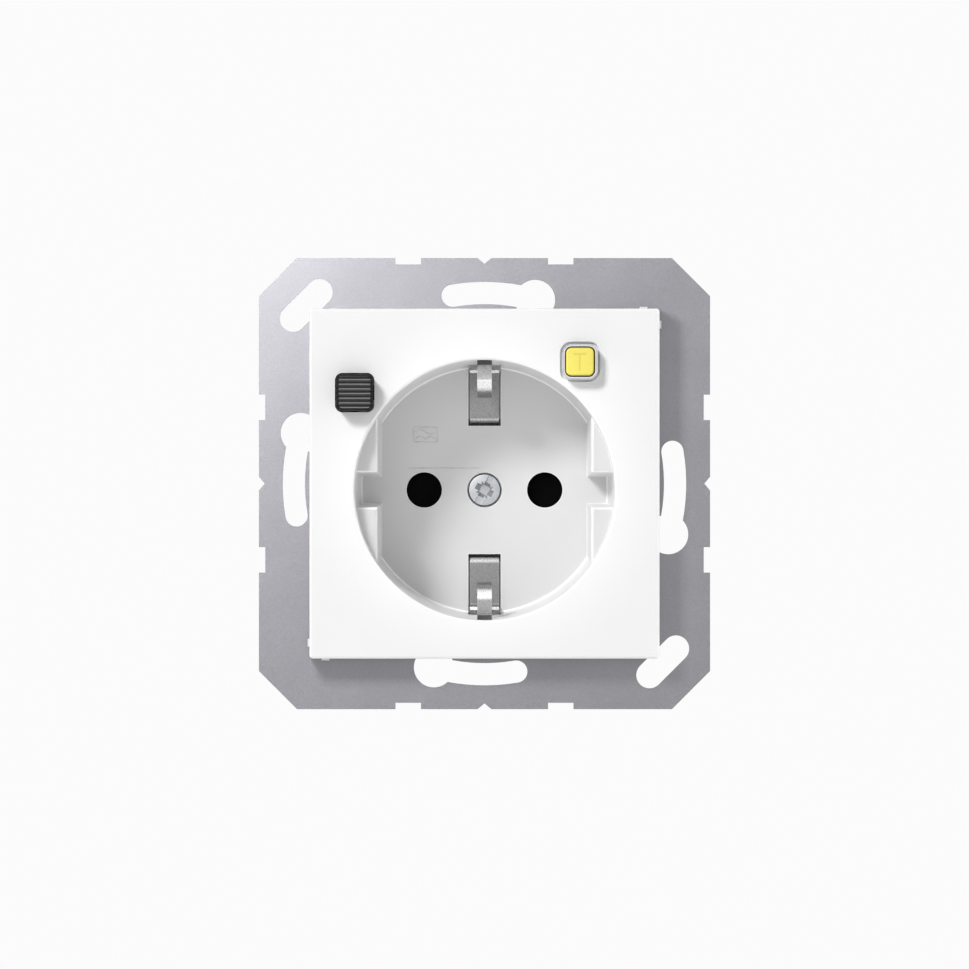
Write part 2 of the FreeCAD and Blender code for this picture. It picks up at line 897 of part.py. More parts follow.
def make_centre_screw():
    seat = floor_y + s.centre_head_height
    body = new_body("centre_screw_body", (0, seat, recess_z))
    head, shank = s.centre_head / 2, s.centre_thread / 2
    front = -s.centre_head_height - s.head_crown
    turned(body, "XY", "Y", [
        (0, front), (head - 2 * s.head_crown, front), (head, front + 2 * s.head_crown), (head, 0),
        (shank, 0), (shank, s.centre_length - s.thread_chamfer),
        (shank - s.thread_chamfer, s.centre_length), (0, s.centre_length),
    ])
    head_front = seat + front
    slot_y = (head_front - OVER, head_front + s.slot_depth)
    cross_y = (head_front - OVER, head_front + s.cross_depth)
    angle = s.centre_slot_angle
    return cut(
        "centre_screw_cut",
        body,
        slanted("centre_slot", recess_centre, slot_y, s.centre_head + OVER, s.driver_slot, angle),
        slanted("centre_cross", recess_centre, cross_y, s.centre_cross, s.centre_arm, angle),
        slanted("centre_wings", recess_centre, cross_y, s.centre_cross, s.centre_arm, angle + 90),
    )


piece("centre_screw", make_centre_screw())

insert_radius = s.insert_bore / 2 - s.press_gap
insert_hole_y = (insert_front - OVER, insert_back + OVER)
piece("screw_insert", cut(
    "insert_cut",
    bar("insert_blank", "y", recess_centre, (insert_front, insert_back), insert_radius),
    bar("insert_hole", "y", recess_centre, insert_hole_y, s.centre_thread / 2 + s.press_gap),
))


# Socket base: front moulding with the pockets for cup and shutter, the deck, the pillar that takes
# the centre screw, the ears of both levers and the cradle of the transformer

def ear_pair(name, across, depth, reach, z):
    """Two ears on the deck, one beyond each end of a lever's span."""
    x = (across - reach, across + reach)
    y = (deck_back - BITE, depth + reach)
    near = s.rest_gap
    far = s.rest_gap + s.ear_wall
    return [
        block(f"{name}_low", x, y, (z[0] - far, z[0] - near)),
        block(f"{name}_high", x, y, (z[1] + near, z[1] + far)),
    ]


def make_socket_base():
    body = new_body("base_body")
    pad(body, "XZ", (seat_y, deck_back), cut_square(base_half, s.base_corner))
    shutter_room = s.shutter_reach + s.shutter_room
    stock = cut(
        "base_pocketed",
        body,
        bar("cup_pocket", "y", recess_centre, (seat_y - OVER, floor_back), s.cup_pocket / 2),
        bar("shutter_pocket", "y", recess_centre, (floor_back - OVER, deck_front), shutter_room),
    )
    cradle_z = (-inner_half + s.screw_gap, core_z - winding_radius + s.cradle_rise)
    stock = join(
        "base_solid",
        stock,
        bar("pillar", "y", recess_centre, (floor_back, insert_back + BITE), s.pillar_radius),
        *ear_pair("lever_ear", -s.lever_pivot_across, pivot_y, s.lever_ear, lever_z),
        *ear_pair("latch_ear", -s.latch_across, latch_y, s.latch_ear, latch_z),
        block("cradle", (-s.cradle_half, s.cradle_half), (deck_back - BITE, core_back), cradle_z),
    )
    screw_way = (floor_back - OVER, insert_back)
    holes = [
        bar("insert_seat", "y", recess_centre, (insert_front, insert_back + OVER), s.insert_bore / 2),
        bar("pillar_hole", "y", recess_centre, screw_way, s.centre_thread / 2 + s.head_gap),
        bar("lever_pin_hole", "z", (-s.lever_pivot_across, pivot_y), (0, base_half),
            s.lever_pin / 2 + s.press_gap),
        bar("latch_pin_hole", "z", (-s.latch_across, latch_y), (0, base_half),
            s.latch_pin / 2 + s.press_gap),
        bar("cradle_seat", "y", (0, core_z), (core_front, core_back + OVER), winding_radius),
    ]
    through = (seat_y - OVER, deck_back + OVER)
    holes.append(square("reset_stem_hole", reset_place, through, s.reset_stem / 2 + s.rest_gap))
    holes.append(square("test_stem_hole", test_place, through, s.test_stem / 2 + s.rest_gap))
    deck_through = (deck_front - OVER, deck_back + OVER)
    deck_pin_radius = s.pin_bore / 2 + s.rest_gap
    slot_half = s.clip_width / 2 + s.clip_side_gap
    slot_near = rivet_at - s.rivet_shank - s.rest_gap
    for side in (-1, 1):
        place = (pin_x * side, recess_z)
        holes.append(bar(f"deck_pin_hole{side + 1}", "y", place, deck_through, deck_pin_radius))
        slot_z = span_from(recess_z, side, slot_near, s.clip_foot_at + s.clip_sheet)
        holes.append(block(f"foot_slot{side + 1}", (-slot_half, slot_half), deck_through, slot_z))
    thread = s.assembly_thread / 2 + s.press_gap
    front_bite = (seat_y - OVER, seat_y + s.frame_screw_length)
    rear_bite = (deck_back - s.cover_screw_bite, deck_back + OVER)
    for number, place in enumerate(SCREW_PLACES):
        holes.append(bar(f"frame_screw_hole{number}", "y", place, front_bite, thread))
    for number, place in enumerate(COVER_SCREW_PLACES):
        holes.append(bar(f"cover_screw_hole{number}", "y", place, rear_bite, thread))
    return cut("base_cut", stock, *holes)


piece("socket_base", make_socket_base())


# Base cover: rear pan with the wire windows behind and the clamp screws' wells at its flanks.
# Each terminal is named with the flank it faces, that flank's side and its place across.

clamp_y = (cage_front + cage_back) / 2
cage_outer = inner_half - s.cage_inset
cage_inner = cage_outer - s.cage_height
cage_bore = s.cage_width / 2 - s.cage_wall
cage_bore_reach = (cage_inner + s.cage_wall, cage_outer - s.cage_wall)
TERMINALS = {
    "line_in": ("z", 1, -s.cage_across),
    "neutral_in": ("z", 1, s.cage_across),
    "line_out": ("z", -1, s.cage_across),
    "neutral_out": ("z", -1, -s.cage_across),
    "earth": ("x", -1, Size(0, "0")),
}


def flank_block(name, terminal, wide, depth, reach):
    """A block beside a terminal's flank: a span across it, and a reach out from the middle."""
    facing, side, _ = TERMINALS[terminal]
    out = span_from(0, side, *reach)
    x, z = (out, wide) if facing == "x" else (wide, out)
    return block(name, x, depth, z)


def flank_bar(name, terminal, reach, radius):
    """A bar square to a terminal's flank, on its clamp screw's axis."""
    facing, side, across = TERMINALS[terminal]
    place = (clamp_y, across) if facing == "x" else (across, clamp_y)
    return bar(name, facing, place, span_from(0, side, *reach), radius)


def wire_funnel(name):
    """The flared mouth of a terminal's wire window."""
    facing, side, across = TERMINALS[name]
    ends = []
    for flare in (0, s.funnel_flare):
        wide = (across - cage_bore - flare, across + cage_bore + flare)
        out = span_from(0, side, cage_bore_reach[0] - flare, cage_bore_reach[1] + flare)
        ends.append((out, wide) if facing == "x" else (wide, out))
    return wedge(f"{name}_funnel", (base_back - s.funnel_depth, base_back), *ends)


def make_base_cover():
    body = new_body("cover_body")
    pad(body, "XZ", (deck_back, base_back), cut_square(base_half, s.base_corner))
    # the cut corners' walls are as thick as the flanks
    inner_corner = s.base_corner - s.base_wall * (2 - math.sqrt(2))
    pocket(body, "XZ", (deck_back, cage_back), cut_square(inner_half, inner_corner))
    solids = [body]
    tools = []
    for number, place in enumerate(COVER_SCREW_PLACES):
        head_y = base_back - s.screw_head_height - s.rest_gap
        solids.append(bar(f"boss{number}", "y", place, (deck_back, cage_back + BITE), s.boss_radius))
        solids.append(bar(f"board_rest{number}", "y", place, (board_back, cage_back + BITE), s.board_rest))
        tools.append(bar(f"boss_hole{number}", "y", place, (deck_back - OVER, base_back + OVER),
                         s.assembly_thread / 2 + s.screw_gap))
        tools.append(bar(f"boss_seat{number}", "y", place, (head_y, base_back + OVER),
                         s.screw_head / 2 + s.head_gap))
    for name, (_, _, across) in TERMINALS.items():
        edge = 1 if across.value > 0 else -1
        rib_wide = span_from(across, edge, cage_bore, s.cage_width / 2)
        solids.append(flank_block(f"{name}_rib", name, rib_wide, (cage_front, cage_back + BITE),
                                  (cage_outer, inner_half + BITE)))
        tools.append(flank_block(f"{name}_window", name, (across - cage_bore, across + cage_bore),
                                 (cage_back - OVER, base_back + OVER), cage_bore_reach))
        tools.append(wire_funnel(name))
        tools.append(flank_bar(f"{name}_well", name, (inner_half - BITE, base_half + OVER), s.well_bore / 2))
    tools.append(square("label_field", (0, 0), (base_back - s.label_field_depth, base_back + OVER),
                        s.label_field / 2))
    return cut("cover_cut", join("cover_solid", *solids), *tools)


piece("base_cover", make_base_cover())


# Terminals: cages open through their depth, with clamp screws. The outgoing ones carry a strip that
# meets the tulip contacts.

def make_cage(name):
    across = TERMINALS[name][2]
    wide = (across - s.cage_width / 2, across + s.cage_width / 2)
    outer = flank_block(f"{name}_cage", name, wide, (cage_front, cage_back), (cage_inner, cage_outer))
    bore = flank_block(f"{name}_bore", name, (across - cage_bore, across + cage_bore),
                       (cage_front - OVER, cage_back + OVER), cage_bore_reach)
    thread = flank_bar(f"{name}_thread", name, (cage_outer - s.cage_wall - BITE, cage_outer + OVER),
                       s.clamp_thread / 2 + s.press_gap)
    return cut(f"{name}_cage_cut", outer, bore, thread)


def make_clamp_screw(name):
    across = TERMINALS[name][2]
    neck = base_half - s.clamp_sunk - s.clamp_head_height
    shank = flank_bar(f"{name}_shank", name, (cage_outer - s.cage_wall, neck + BITE), s.clamp_thread / 2)
    head = flank_bar(f"{name}_head", name, (neck, neck + s.clamp_head_height), s.clamp_head / 2)
    slot = flank_block(f"{name}_slot", name, (across - s.clamp_head, across + s.clamp_head),
                       (clamp_y - s.driver_slot / 2, clamp_y + s.driver_slot / 2),
                       (neck + s.clamp_head_height / 2, base_half))
    return cut(f"{name}_screw", join(f"{name}_screw_solid", shank, head), slot)


def group(name, things):
    """Like pieces in one node, each a separate solid."""
    thing = doc.addObject("Part::Compound", name)
    thing.Links = things
    return thing


tulip_back = deck_back + s.tulip_length
for name in ("line_in", "neutral_in", "earth"):
    piece(f"{name}_terminal", make_cage(name))
for name, side in (("line_out", 1), ("neutral_out", -1)):
    tail_x = (pin_x * side - s.blade_width / 2, pin_x * side + s.blade_width / 2)
    riser_z = (-cage_inner - s.cage_wall, fin_low)
    riser = block(f"{name}_riser", tail_x, (cage_front, cage_front + s.blade_sheet), riser_z)
    arm = block(f"{name}_arm", tail_x, (tulip_back - s.tail_bite, cage_front + s.blade_sheet),
                (fin_low - s.blade_sheet, fin_low))
    piece(f"{name}_terminal", join(f"{name}_fused", make_cage(name), riser, arm))
piece("terminal_screws", group("clamp_screw_group", [make_clamp_screw(name) for name in TERMINALS]))


# Assembly screws: four hold the frame to the base, three hold the pan

def make_screw(name, place, head_y, length, way):
    """A cross-head screw along the depth. Its way is 1 where it points back, -1 where forward."""
    body = new_body(name, (place[0], head_y, place[1]))
    head, shank = s.screw_head / 2, s.assembly_thread / 2
    top = s.screw_head_height
    profile = [
        (0, -top), (head - 2 * s.head_crown, -top), (head, 2 * s.head_crown - top), (head, 0),
        (shank, 0), (shank, length), (0, length),
    ]
    turned(body, "XY", "Y", [(x, as_size(y) * way) for x, y in profile])
    recess_y = span_from(0, -way, top - s.slot_depth, top)
    pocket(body, "XZ", recess_y, corners(0, 0, s.screw_cross, s.cross_width))
    pocket(body, "XZ", recess_y, corners(0, 0, s.cross_width, s.screw_cross))
    return body


piece("frame_screws", group("frame_screw_group", [
    make_screw(f"frame_screw{number}", place, frame_front, s.frame_screw_length, 1)
    for number, place in enumerate(SCREW_PLACES)
]))
cover_screw_y = base_back - s.screw_head_height - s.rest_gap
cover_screw_length = cover_screw_y - deck_back + s.cover_screw_bite - BITE
piece("cover_screws", group("cover_screw_group", [
    make_screw(f"cover_screw{number}", place, cover_screw_y, cover_screw_length, -1)
    for number, place in enumerate(COVER_SCREW_PLACES)
]))


# Shutter: two blades on a hub that turns on the base's pillar, with its spring in the hub's groove

def make_shutter():
    reach = s.shutter_reach
    depth = (shutter_front, shutter_back)
    bow = new_body("shutter_bow", (0, 0, recess_z))
    spread = reach * sine(s.shutter_half_angle) / cosine(s.shutter_half_angle)
    pad(bow, "XZ", depth, [
        (-reach, -spread), (0, -0.01), (reach, -spread), (reach, spread), (0, 0.01), (-reach, spread),
    ])
    disc = bar("shutter_disc", "y", recess_centre, depth, reach)
    hub = bar("shutter_hub", "y", recess_centre, depth, s.shutter_hub)
    bore_y = (shutter_front - OVER, shutter_back + OVER)
    bore = bar("shutter_bore", "y", recess_centre, bore_y, s.pillar_radius + s.running_gap)
    groove_y = (shutter_back - s.spring_groove, shutter_back + OVER)
    groove = cut(
        "shutter_groove",
        bar("groove_outer", "y", recess_centre, groove_y, s.shutter_hub - s.groove_wall),
        bar("groove_inner", "y", recess_centre, groove_y, s.pillar_radius + s.groove_wall),
    )
    blades = overlap("shutter_blades", disc, bow)
    return cut("shutter_cut", join("shutter_solid", blades, hub), bore, groove)


def coil(name, place, along, span, radius, turns):
    """A helical spring with plain ends, which touches both ends of its span."""
    wire = s.spring_wire.value
    low, high = float(span[0]) + wire / 2, float(span[1]) - wire / 2
    height = high - low
    helix = Part.makeHelix(height / turns, height, float(radius))
    ring = Part.Wire(Part.makeCircle(wire / 2, Vector(float(radius), 0, 0), Vector(0, 1, 0)))
    spring = Part.Wire(helix.Edges).makePipeShell([ring], True, True)
    start = Vector(*[float(v) for v in start_of(along, place, low)])
    return from_shape(name, spring, Placement(start, TURN_TO[along]))


piece("shutter", make_shutter())
piece("shutter_spring", coil("shutter_coil", recess_centre, "y", (shutter_back - s.spring_groove, deck_front),
                             (s.pillar_radius + s.shutter_hub) / 2, 1.75))


# Earth clips: one bent strip each, from the foot riveted to the bridge up to the tip that is tucked
# behind the wall. The path's own axes run away from the recess's middle and along the depth.

def bent_path(points, bend):
    """Straight runs joined by tangent arcs."""
    points = [Vector(*[float(v) for v in point]) for point in points]
    edges = []
    start = points[0]
    for before, corner, after in zip(points, points[1:], points[2:]):
        into, out = (corner - before).normalize(), (after - corner).normalize()
        slope = math.tan(into.getAngle(out) / 2)
        reach = min(bend * slope, 0.45 * (corner - before).Length, 0.45 * (after - corner).Length)
        radius = reach / slope
        enter, leave = corner - into * reach, corner + out * reach
        middle = corner + (out - into).normalize() * (math.hypot(radius, reach) - radius)
        edges.append(Part.LineSegment(start, enter).toShape())
        edges.append(Part.Arc(enter, middle, leave).toShape())
        start = leave
    edges.append(Part.LineSegment(start, points[-1]).toShape())
    return Part.Wire(edges)


def wire_along(points, radius, bend):
    """A round wire along a bent path."""
    path = bent_path(points, float(bend))
    start, ahead = [Vector(*[float(v) for v in point]) for point in points[:2]]
    ring = Part.Wire(Part.makeCircle(float(radius), start, ahead - start))
    return path.makePipeShell([ring], True, True)


def make_earth_clip(name, up):
    half_sheet = s.clip_sheet / 2
    foot_y = deck_back - half_sheet
    floor_run_y = floor_y + s.clip_sheet
    wall_at = s.clip_shoulder_at + half_sheet
    nose_at = s.clip_nose_at + half_sheet
    shoulder_y = face_y + s.clip_shoulder_depth
    hump_y = face_y + s.clip_hump_depth
    path = bent_path([
        (s.clip_foot_at - s.foot_length, foot_y),
        (s.clip_foot_at, foot_y),
        (s.clip_foot_at, floor_run_y),
        (wall_at, floor_run_y),
        (wall_at, shoulder_y - s.clip_rise),
        (nose_at, face_y + s.clip_waist_depth),
        (nose_at + s.nose_bow, hump_y + s.hump_drop),
        (nose_at + s.hump_lead, hump_y),
        (s.clip_tip_at, hump_y + s.hump_drop),
    ], s.clip_bend.value)
    width = s.clip_width.value
    strip = Part.Face(path.makeOffset2D(half_sheet.value)).extrude(Vector(0, 0, width))
    strip.translate(Vector(0, 0, -width / 2))
    # above the shoulders only the tongue is left
    trim = Part.makeBox(s.clip_tip_at.value + 2, s.recess_depth.value * 2, width)
    trim_y = (shoulder_y - s.recess_depth * 2).value
    side = s.tongue_width.value / 2
    for across in (side, -side - width):
        strip = strip.cut(trim.translated(Vector(0, trim_y, across)))
    eye_start = Vector(rivet_at.value, foot_y.value - OVER, 0)
    eye = Part.makeCylinder(s.rivet_shank.value / 2 + s.press_gap.value, 2 * OVER, eye_start, Vector(0, 1, 0))
    turn = Rotation(Vector(0, 0, up), Vector(0, 1, 0), Vector(-up, 0, 0), "XYZ")
    return from_shape(name, strip.cut(eye), Placement(Vector(0, 0, recess_z.value), turn))


piece("earth_clip_top", make_earth_clip("clip_top_strip", 1))
piece("earth_clip_bottom", make_earth_clip("clip_bottom_strip", -1))


# Earth bridge: joins both clips behind the deck, goes round the pillar and runs to the earth cage

bridge_y = (deck_back, deck_back + s.bridge_sheet)
bridge_end = s.clip_foot_at + s.clip_sheet
tail_z = (s.earth_tail_up, s.earth_tail_up + s.earth_tail_width)
strap_x = (-cage_outer - s.strap_sheet, -cage_outer)
hole_y = (deck_back - OVER, bridge_y[1] + OVER)
bridge_x = (-s.clip_width / 2, s.clip_width / 2)
bridge = join(
    "bridge_solid",
    block("bridge_strip", bridge_x, bridge_y, (recess_z - bridge_end, recess_z + bridge_end)),
    bar("bridge_ring", "y", recess_centre, bridge_y, s.pillar_radius + s.bridge_ring),
    block("bridge_tail", (strap_x[0], 0), bridge_y, tail_z),
    block("bridge_strap", strap_x, (deck_back, clamp_y - s.clamp_head / 2), tail_z),
)
bridge_holes = [bar("bridge_eye", "y", recess_centre, hole_y, s.pillar_radius + s.screw_gap)]
rivets = []
foot_front = deck_back - s.clip_sheet
for side in (1, -1):
    place = (0, recess_z + rivet_at * side)
    bridge_holes.append(bar(f"rivet_hole{side + 1}", "y", place, hole_y, s.rivet_shank / 2 + s.press_gap))
    rivets.append(join(
        f"rivet{side + 1}",
        bar(f"rivet_shank{side + 1}", "y", place, (foot_front - s.rivet_head, bridge_y[1] + s.rivet_head),
            s.rivet_shank / 2),
        bar(f"rivet_front{side + 1}", "y", place, (foot_front - s.rivet_head, foot_front), s.rivet_shank),
        bar(f"rivet_rear{side + 1}", "y", place, (bridge_y[1], bridge_y[1] + s.rivet_head), s.rivet_shank),
    ))
piece("earth_bridge", cut("bridge_cut", bridge, *bridge_holes))
piece("earth_rivets", group("rivet_group", rivets))


# Tulip contacts: slit sleeves for the plug's pins, each with a foot that carries the current on

def make_tulip(name, side):
    bore, outer = s.tulip_bore / 2, s.tulip_bore / 2 + s.tulip_wall
    length = s.tulip_length
    slit = length - s.tulip_ring
    body = new_body(name, (pin_x * side, deck_back, recess_z))
    turned(body, "XY", "Y", [
        (bore + s.tulip_flare, 0), (outer, 0), (outer, length), (bore, length), (bore, 2 * s.tulip_flare),
    ])
    pocket(body, "XY", (-outer - OVER, outer + OVER), corners(0, slit / 2, s.tulip_slit, slit))
    fin_x = (pin_x * side - s.blade_width / 2, pin_x * side + s.blade_width / 2)
    fin_z = (fin_low, recess_z - bore - s.tulip_wall / 2)
    foot_z = (fin_low, fin_low + s.blade_sheet)
    fin = block(f"{name}_fin", fin_x, (tulip_back - s.fin_length, tulip_back), fin_z)
    foot = block(f"{name}_foot", fin_x, (deck_back + s.bridge_sheet, tulip_back), foot_z)
    return join(f"{name}_solid", body, fin, foot)


piece("line_tulip", make_tulip("tulip_right", 1))
piece("neutral_tulip", make_tulip("tulip_left", -1))


# Summation transformer, with the two conductors that pass through it

core_place = (0, core_z)
core_y = (core_at, core_at + s.core_length)
core_through = (core_front - OVER, core_back + OVER)
fit = s.running_gap
piece("sum_core", cut(
    "core_cut",
    bar("core_outer_bar", "y", core_place, core_y, s.core_outer / 2),
    bar("core_bore_bar", "y", core_place, core_through, s.core_bore / 2),
))
sleeve = cut(
    "winding_sleeve",
    bar("winding_outer", "y", core_place, (core_front, core_back), winding_radius),
    bar("winding_bore", "y", core_place, core_through, s.core_bore / 2 - s.winding_wall),
    cut(
        "winding_room",
        bar("room_outer", "y", core_place, (core_y[0] - fit, core_y[1] + fit), s.core_outer / 2 + fit),
        bar("room_bore", "y", core_place, core_through, s.core_bore / 2 - fit),
    ),
)
wound_half = block("wound_half", (-s.core_outer, s.core_outer), core_through, (core_z - s.core_outer, core_z))
piece("core_winding", overlap("winding_cut", sleeve, wound_half))

lead_radius = s.lead_wire / 2
lead_front = core_front - lead_radius - s.lead_gap
lead_back = core_back + lead_radius + s.lead_gap
lead_near = s.lead_spacing / 2
for name, side in (("line", 1), ("neutral", -1)):
    piece(f"{name}_conductor", from_shape(f"{name}_conductor_wire", wire_along([
        (pin_x * side, lead_front, fin_low),
        (pin_x * side, lead_front, fin_low - s.lead_drop),
        (lead_near * side, lead_front, core_z),
        (lead_near * side, lead_back, core_z),
        (lead_near * side, lead_back, s.lead_top),
    ], lead_radius, s.lead_wire)))


# Contact lever on its pin. It carries a moving contact for each pole.

pivot_x = -s.lever_pivot_across
half_lever = s.lever_sheet / 2
contact_x = -s.contact_across
tip_x = -s.latch_across - s.latch_nose - s.rest_gap


def make_contact_lever():
    body = new_body("lever_body", (pivot_x, pivot_y, 0))
    right = tip_x - pivot_x
    left = s.reset_across - s.lever_pivot_across + s.stem_nose_width
    arm_z = (s.reset_up - s.reset_stem / 2, s.reset_up + s.reset_stem / 2)
    collar = s.lever_pin / 2 + s.lever_collar
    pad(body, "XY", lever_z, corners((right - collar) / 2, 0, right + collar, s.lever_sheet))
    pad(body, "XY", arm_z, corners(-left / 2, 0, left, s.lever_sheet))
    pad(body, "XY", lever_z, ("circle", 0, 0, collar))
    bore = s.lever_pin / 2 + s.running_gap
    pocket(body, "XY", (lever_z[0] - OVER, lever_z[1] + OVER), ("circle", 0, 0, bore))
    rivet_y = (pivot_y - s.lever_sheet, pivot_y + s.lever_sheet)
    rivet_radius = s.contact_shank / 2 + s.press_gap
    rivet_holes = [
        bar(f"lever_rivet_hole{number}", "y", (contact_x, up), rivet_y, rivet_radius)
        for number, up in enumerate((s.line_pole_up, s.neutral_pole_up))
    ]
    return cut("lever_cut", body, *rivet_holes)


def make_moving_contact(name, up):
    """A blade on the lever's front, riveted through it with the contact's own shank."""
    front, back = pivot_y - half_lever, pivot_y + half_lever
    blade_front = front - s.blade_sheet
    place = (contact_x, up)
    x = (contact_x - s.blade_tail, contact_x + s.blade_tip)
    z = (up - s.blade_width / 2, up + s.blade_width / 2)
    face_span = (blade_front - s.contact_height, blade_front)
    return join(
        f"{name}_moving_solid",
        block(f"{name}_moving_blade", x, (blade_front, front), z),
        bar(f"{name}_moving_face", "y", place, face_span, s.contact_rivet / 2),
        bar(f"{name}_moving_shank", "y", place, (blade_front, back + s.rivet_head), s.contact_shank / 2),
        bar(f"{name}_moving_rear", "y", place, (back, back + s.rivet_head), s.contact_rivet / 2),
    )


piece("contact_lever", make_contact_lever())
pin_z = (lever_z[0] - s.rest_gap - s.ear_wall, lever_z[1] + s.rest_gap + s.ear_wall)
piece("lever_pin", bar("lever_pin_bar", "z", (pivot_x, pivot_y), pin_z, s.lever_pin / 2))
piece("line_moving_contact", make_moving_contact("line", s.line_pole_up))
piece("neutral_moving_contact", make_moving_contact("neutral", s.neutral_pole_up))


# Fixed contacts: strips along the deck that rise beside the wall to the incoming cages

strip_x = (contact_x - s.blade_width / 2, contact_x + s.blade_width / 2)
strip_y = (deck_back, deck_back + s.blade_sheet)
strip_top = cage_outer + s.blade_sheet
run_y = (deck_back, clamp_y - s.clamp_head / 2)
run_z = (cage_outer, strip_top)
riser_x = (s.riser_at, s.riser_at + s.blade_width)
neutral_z = (s.neutral_pole_up - s.blade_width / 2, s.neutral_pole_up + s.blade_width / 2)
line_run = [
    block("line_fixed_foot", strip_x, strip_y, (s.line_pole_up - s.blade_width / 2, strip_top)),
    block("line_fixed_run", strip_x, run_y, run_z),
]
neutral_end_x = (s.riser_at, s.cage_across - cage_bore)
neutral_run = [
    block("neutral_fixed_foot", (strip_x[0], riser_x[1]), strip_y, neutral_z),
    block("neutral_fixed_riser", riser_x, strip_y, (neutral_z[0], strip_top)),
    block("neutral_fixed_run", riser_x, run_y, run_z),
    block("neutral_fixed_end", neutral_end_x, (cage_front, run_y[1]), run_z),
]
for name, up, run in (("line", s.line_pole_up, line_run), ("neutral", s.neutral_pole_up, neutral_run)):
    face = bar(f"{name}_fixed_face", "y", (contact_x, up), (strip_y[1], strip_y[1] + s.fixed_height),
               s.contact_rivet / 2)
    piece(f"{name}_fixed_contact", join(f"{name}_fixed_solid", *run, face))


# Flexible leads from the conductors to the backs of the moving contacts

lead_end_y = pivot_y + half_lever + s.rivet_head
line_lead_y = lead_back - s.line_lead_step
neutral_lead_y = lead_back - s.neutral_lead_step
piece("line_lead", from_shape("line_lead_wire", wire_along([
    (lead_near, lead_back, s.lead_top),
    (lead_near, lead_back, s.lead_top + 2 * s.flex_wire),
    (contact_x, line_lead_y, s.neutral_pole_up + s.flex_wire),
    (contact_x, line_lead_y, s.line_pole_up),
    (contact_x, lead_end_y, s.line_pole_up),
], s.flex_wire / 2, s.flex_wire)))
piece("neutral_lead", from_shape("neutral_lead_wire", wire_along([
    (-lead_near, lead_back, s.lead_top),
    (-lead_near, lead_back, s.lead_top + s.flex_wire),
    (contact_x, neutral_lead_y, s.neutral_pole_up - 2 * s.flex_wire),
    (contact_x, neutral_lead_y, s.neutral_pole_up),
    (contact_x, lead_end_y, s.neutral_pole_up),
], s.flex_wire / 2, s.flex_wire * 0.75)))


# Latch on its pin, the trip relay and the plunger that pushes the latch off the lever

latch_x = -s.latch_across
half_latch = s.latch_sheet / 2


def make_latch():
    body = new_body("latch_body", (latch_x, latch_y, 0))
    nose_y = pivot_y - s.latch_hook - latch_y
    tail_y = plunger_y - latch_y + s.plunger_bore * 0.7
    half_nose = s.latch_nose_flat / 2
    pad(body, "XY", latch_z, [
        (-half_latch, nose_y - s.latch_nose),
        (half_latch, nose_y - s.latch_nose),
        (half_latch, tail_y),
        (-half_latch, tail_y),
        (-half_latch, nose_y + 2 * half_nose),
        (-s.latch_nose, nose_y + half_nose),
        (-s.latch_nose, nose_y - half_nose),
        (-half_latch, nose_y - 2 * half_nose),
    ])
    pad(body, "XY", latch_z, ("circle", 0, 0, s.latch_pin / 2 + half_latch))
    bore = s.latch_pin / 2 + s.running_gap
    pocket(body, "XY", (latch_z[0] - OVER, latch_z[1] + OVER), ("circle", 0, 0, bore))
    return body


piece("latch_lever", make_latch())
pin_z = (latch_z[0] - s.rest_gap - s.ear_wall, latch_z[1] + s.rest_gap + s.ear_wall)
piece("latch_pin", bar("latch_pin_bar", "z", (latch_x, latch_y), pin_z, s.latch_pin / 2))

plunger_centre = (plunger_y, s.latch_up)
plunger_end = s.relay_at + s.plunger_reach
relay_y = (board_at - s.relay_depth, board_at)
relay_z = (s.latch_up - s.relay_height / 2, s.latch_up + s.relay_height / 2)
relay_case = block("relay_block", (s.relay_at, s.relay_at + s.relay_width), relay_y, relay_z)
relay_case = rounded("relay_case", relay_case, s.relay_corner, runs_along("y"))
relay_bore = bar("relay_bore", "x", plunger_centre, (s.relay_at - OVER, plunger_end + BITE),
                 s.plunger_bore / 2 + s.running_gap)
piece("trip_relay", cut("relay_cut", relay_case, relay_bore))
plunger_x = (latch_x + half_latch + s.rest_gap, plunger_end)
piece("relay_plunger", bar("plunger_bar", "x", plunger_centre, plunger_x, s.plunger_bore / 2))
piece("latch_spring", coil("latch_coil", (pivot_y, s.latch_up), "x", (latch_x + half_latch, s.relay_at),
                           s.latch_coil, 4))


# Reset button: ribbed cap held behind the plate by its lips, with the stem that tilts the lever

def make_reset_button():
    side, stem = s.reset_side, s.reset_stem
    lip_y = (face_y + s.chimney_depth + s.rest_gap, face_y + s.chimney_depth + s.rest_gap + s.lip_wall)
    front = face_y - s.reset_proud
    nose_y = pivot_y - half_lever - s.rest_gap
    body = new_body("reset_body", (reset_place[0], 0, reset_place[1]))
    pad(body, "XZ", (front, lip_y[1]), corners(0, 0, side, side))
    round_edges(body, s.reset_corner, runs_along("y"))
    round_edges(body, s.reset_round, lies_at(y=front))
    pad(body, "XZ", lip_y, corners(0, 0, side + 2 * s.lip_reach, s.lip_width))
    pad(body, "XZ", (lip_y[0], nose_y - s.stem_nose), corners(0, 0, stem, stem))
    pad(body, "XZ", (nose_y - s.stem_nose - BITE, nose_y), corners(0, 0, s.stem_nose_width, stem))
    pitch, floor = s.reset_rib_pitch, front + s.reset_rib_depth
    first = -pitch * 4
    groove = pocket(body, "YZ", (-side, side), [
        (front - 0.01, first - pitch * 0.32),
        (floor, first - pitch * 0.1),
        (floor, first + pitch * 0.1),
        (front - 0.01, first + pitch * 0.32),
    ])
    rows = body.newObject("PartDesign::LinearPattern", "reset_rows")
    rows.Originals = [groove]
    rows.Direction = (datum(body, "Z_Axis"), [""])
    bind(rows, "Length", pitch * 8)
    rows.Occurrences = 9
    body.Tip = rows
    doc.recompute()
    return body


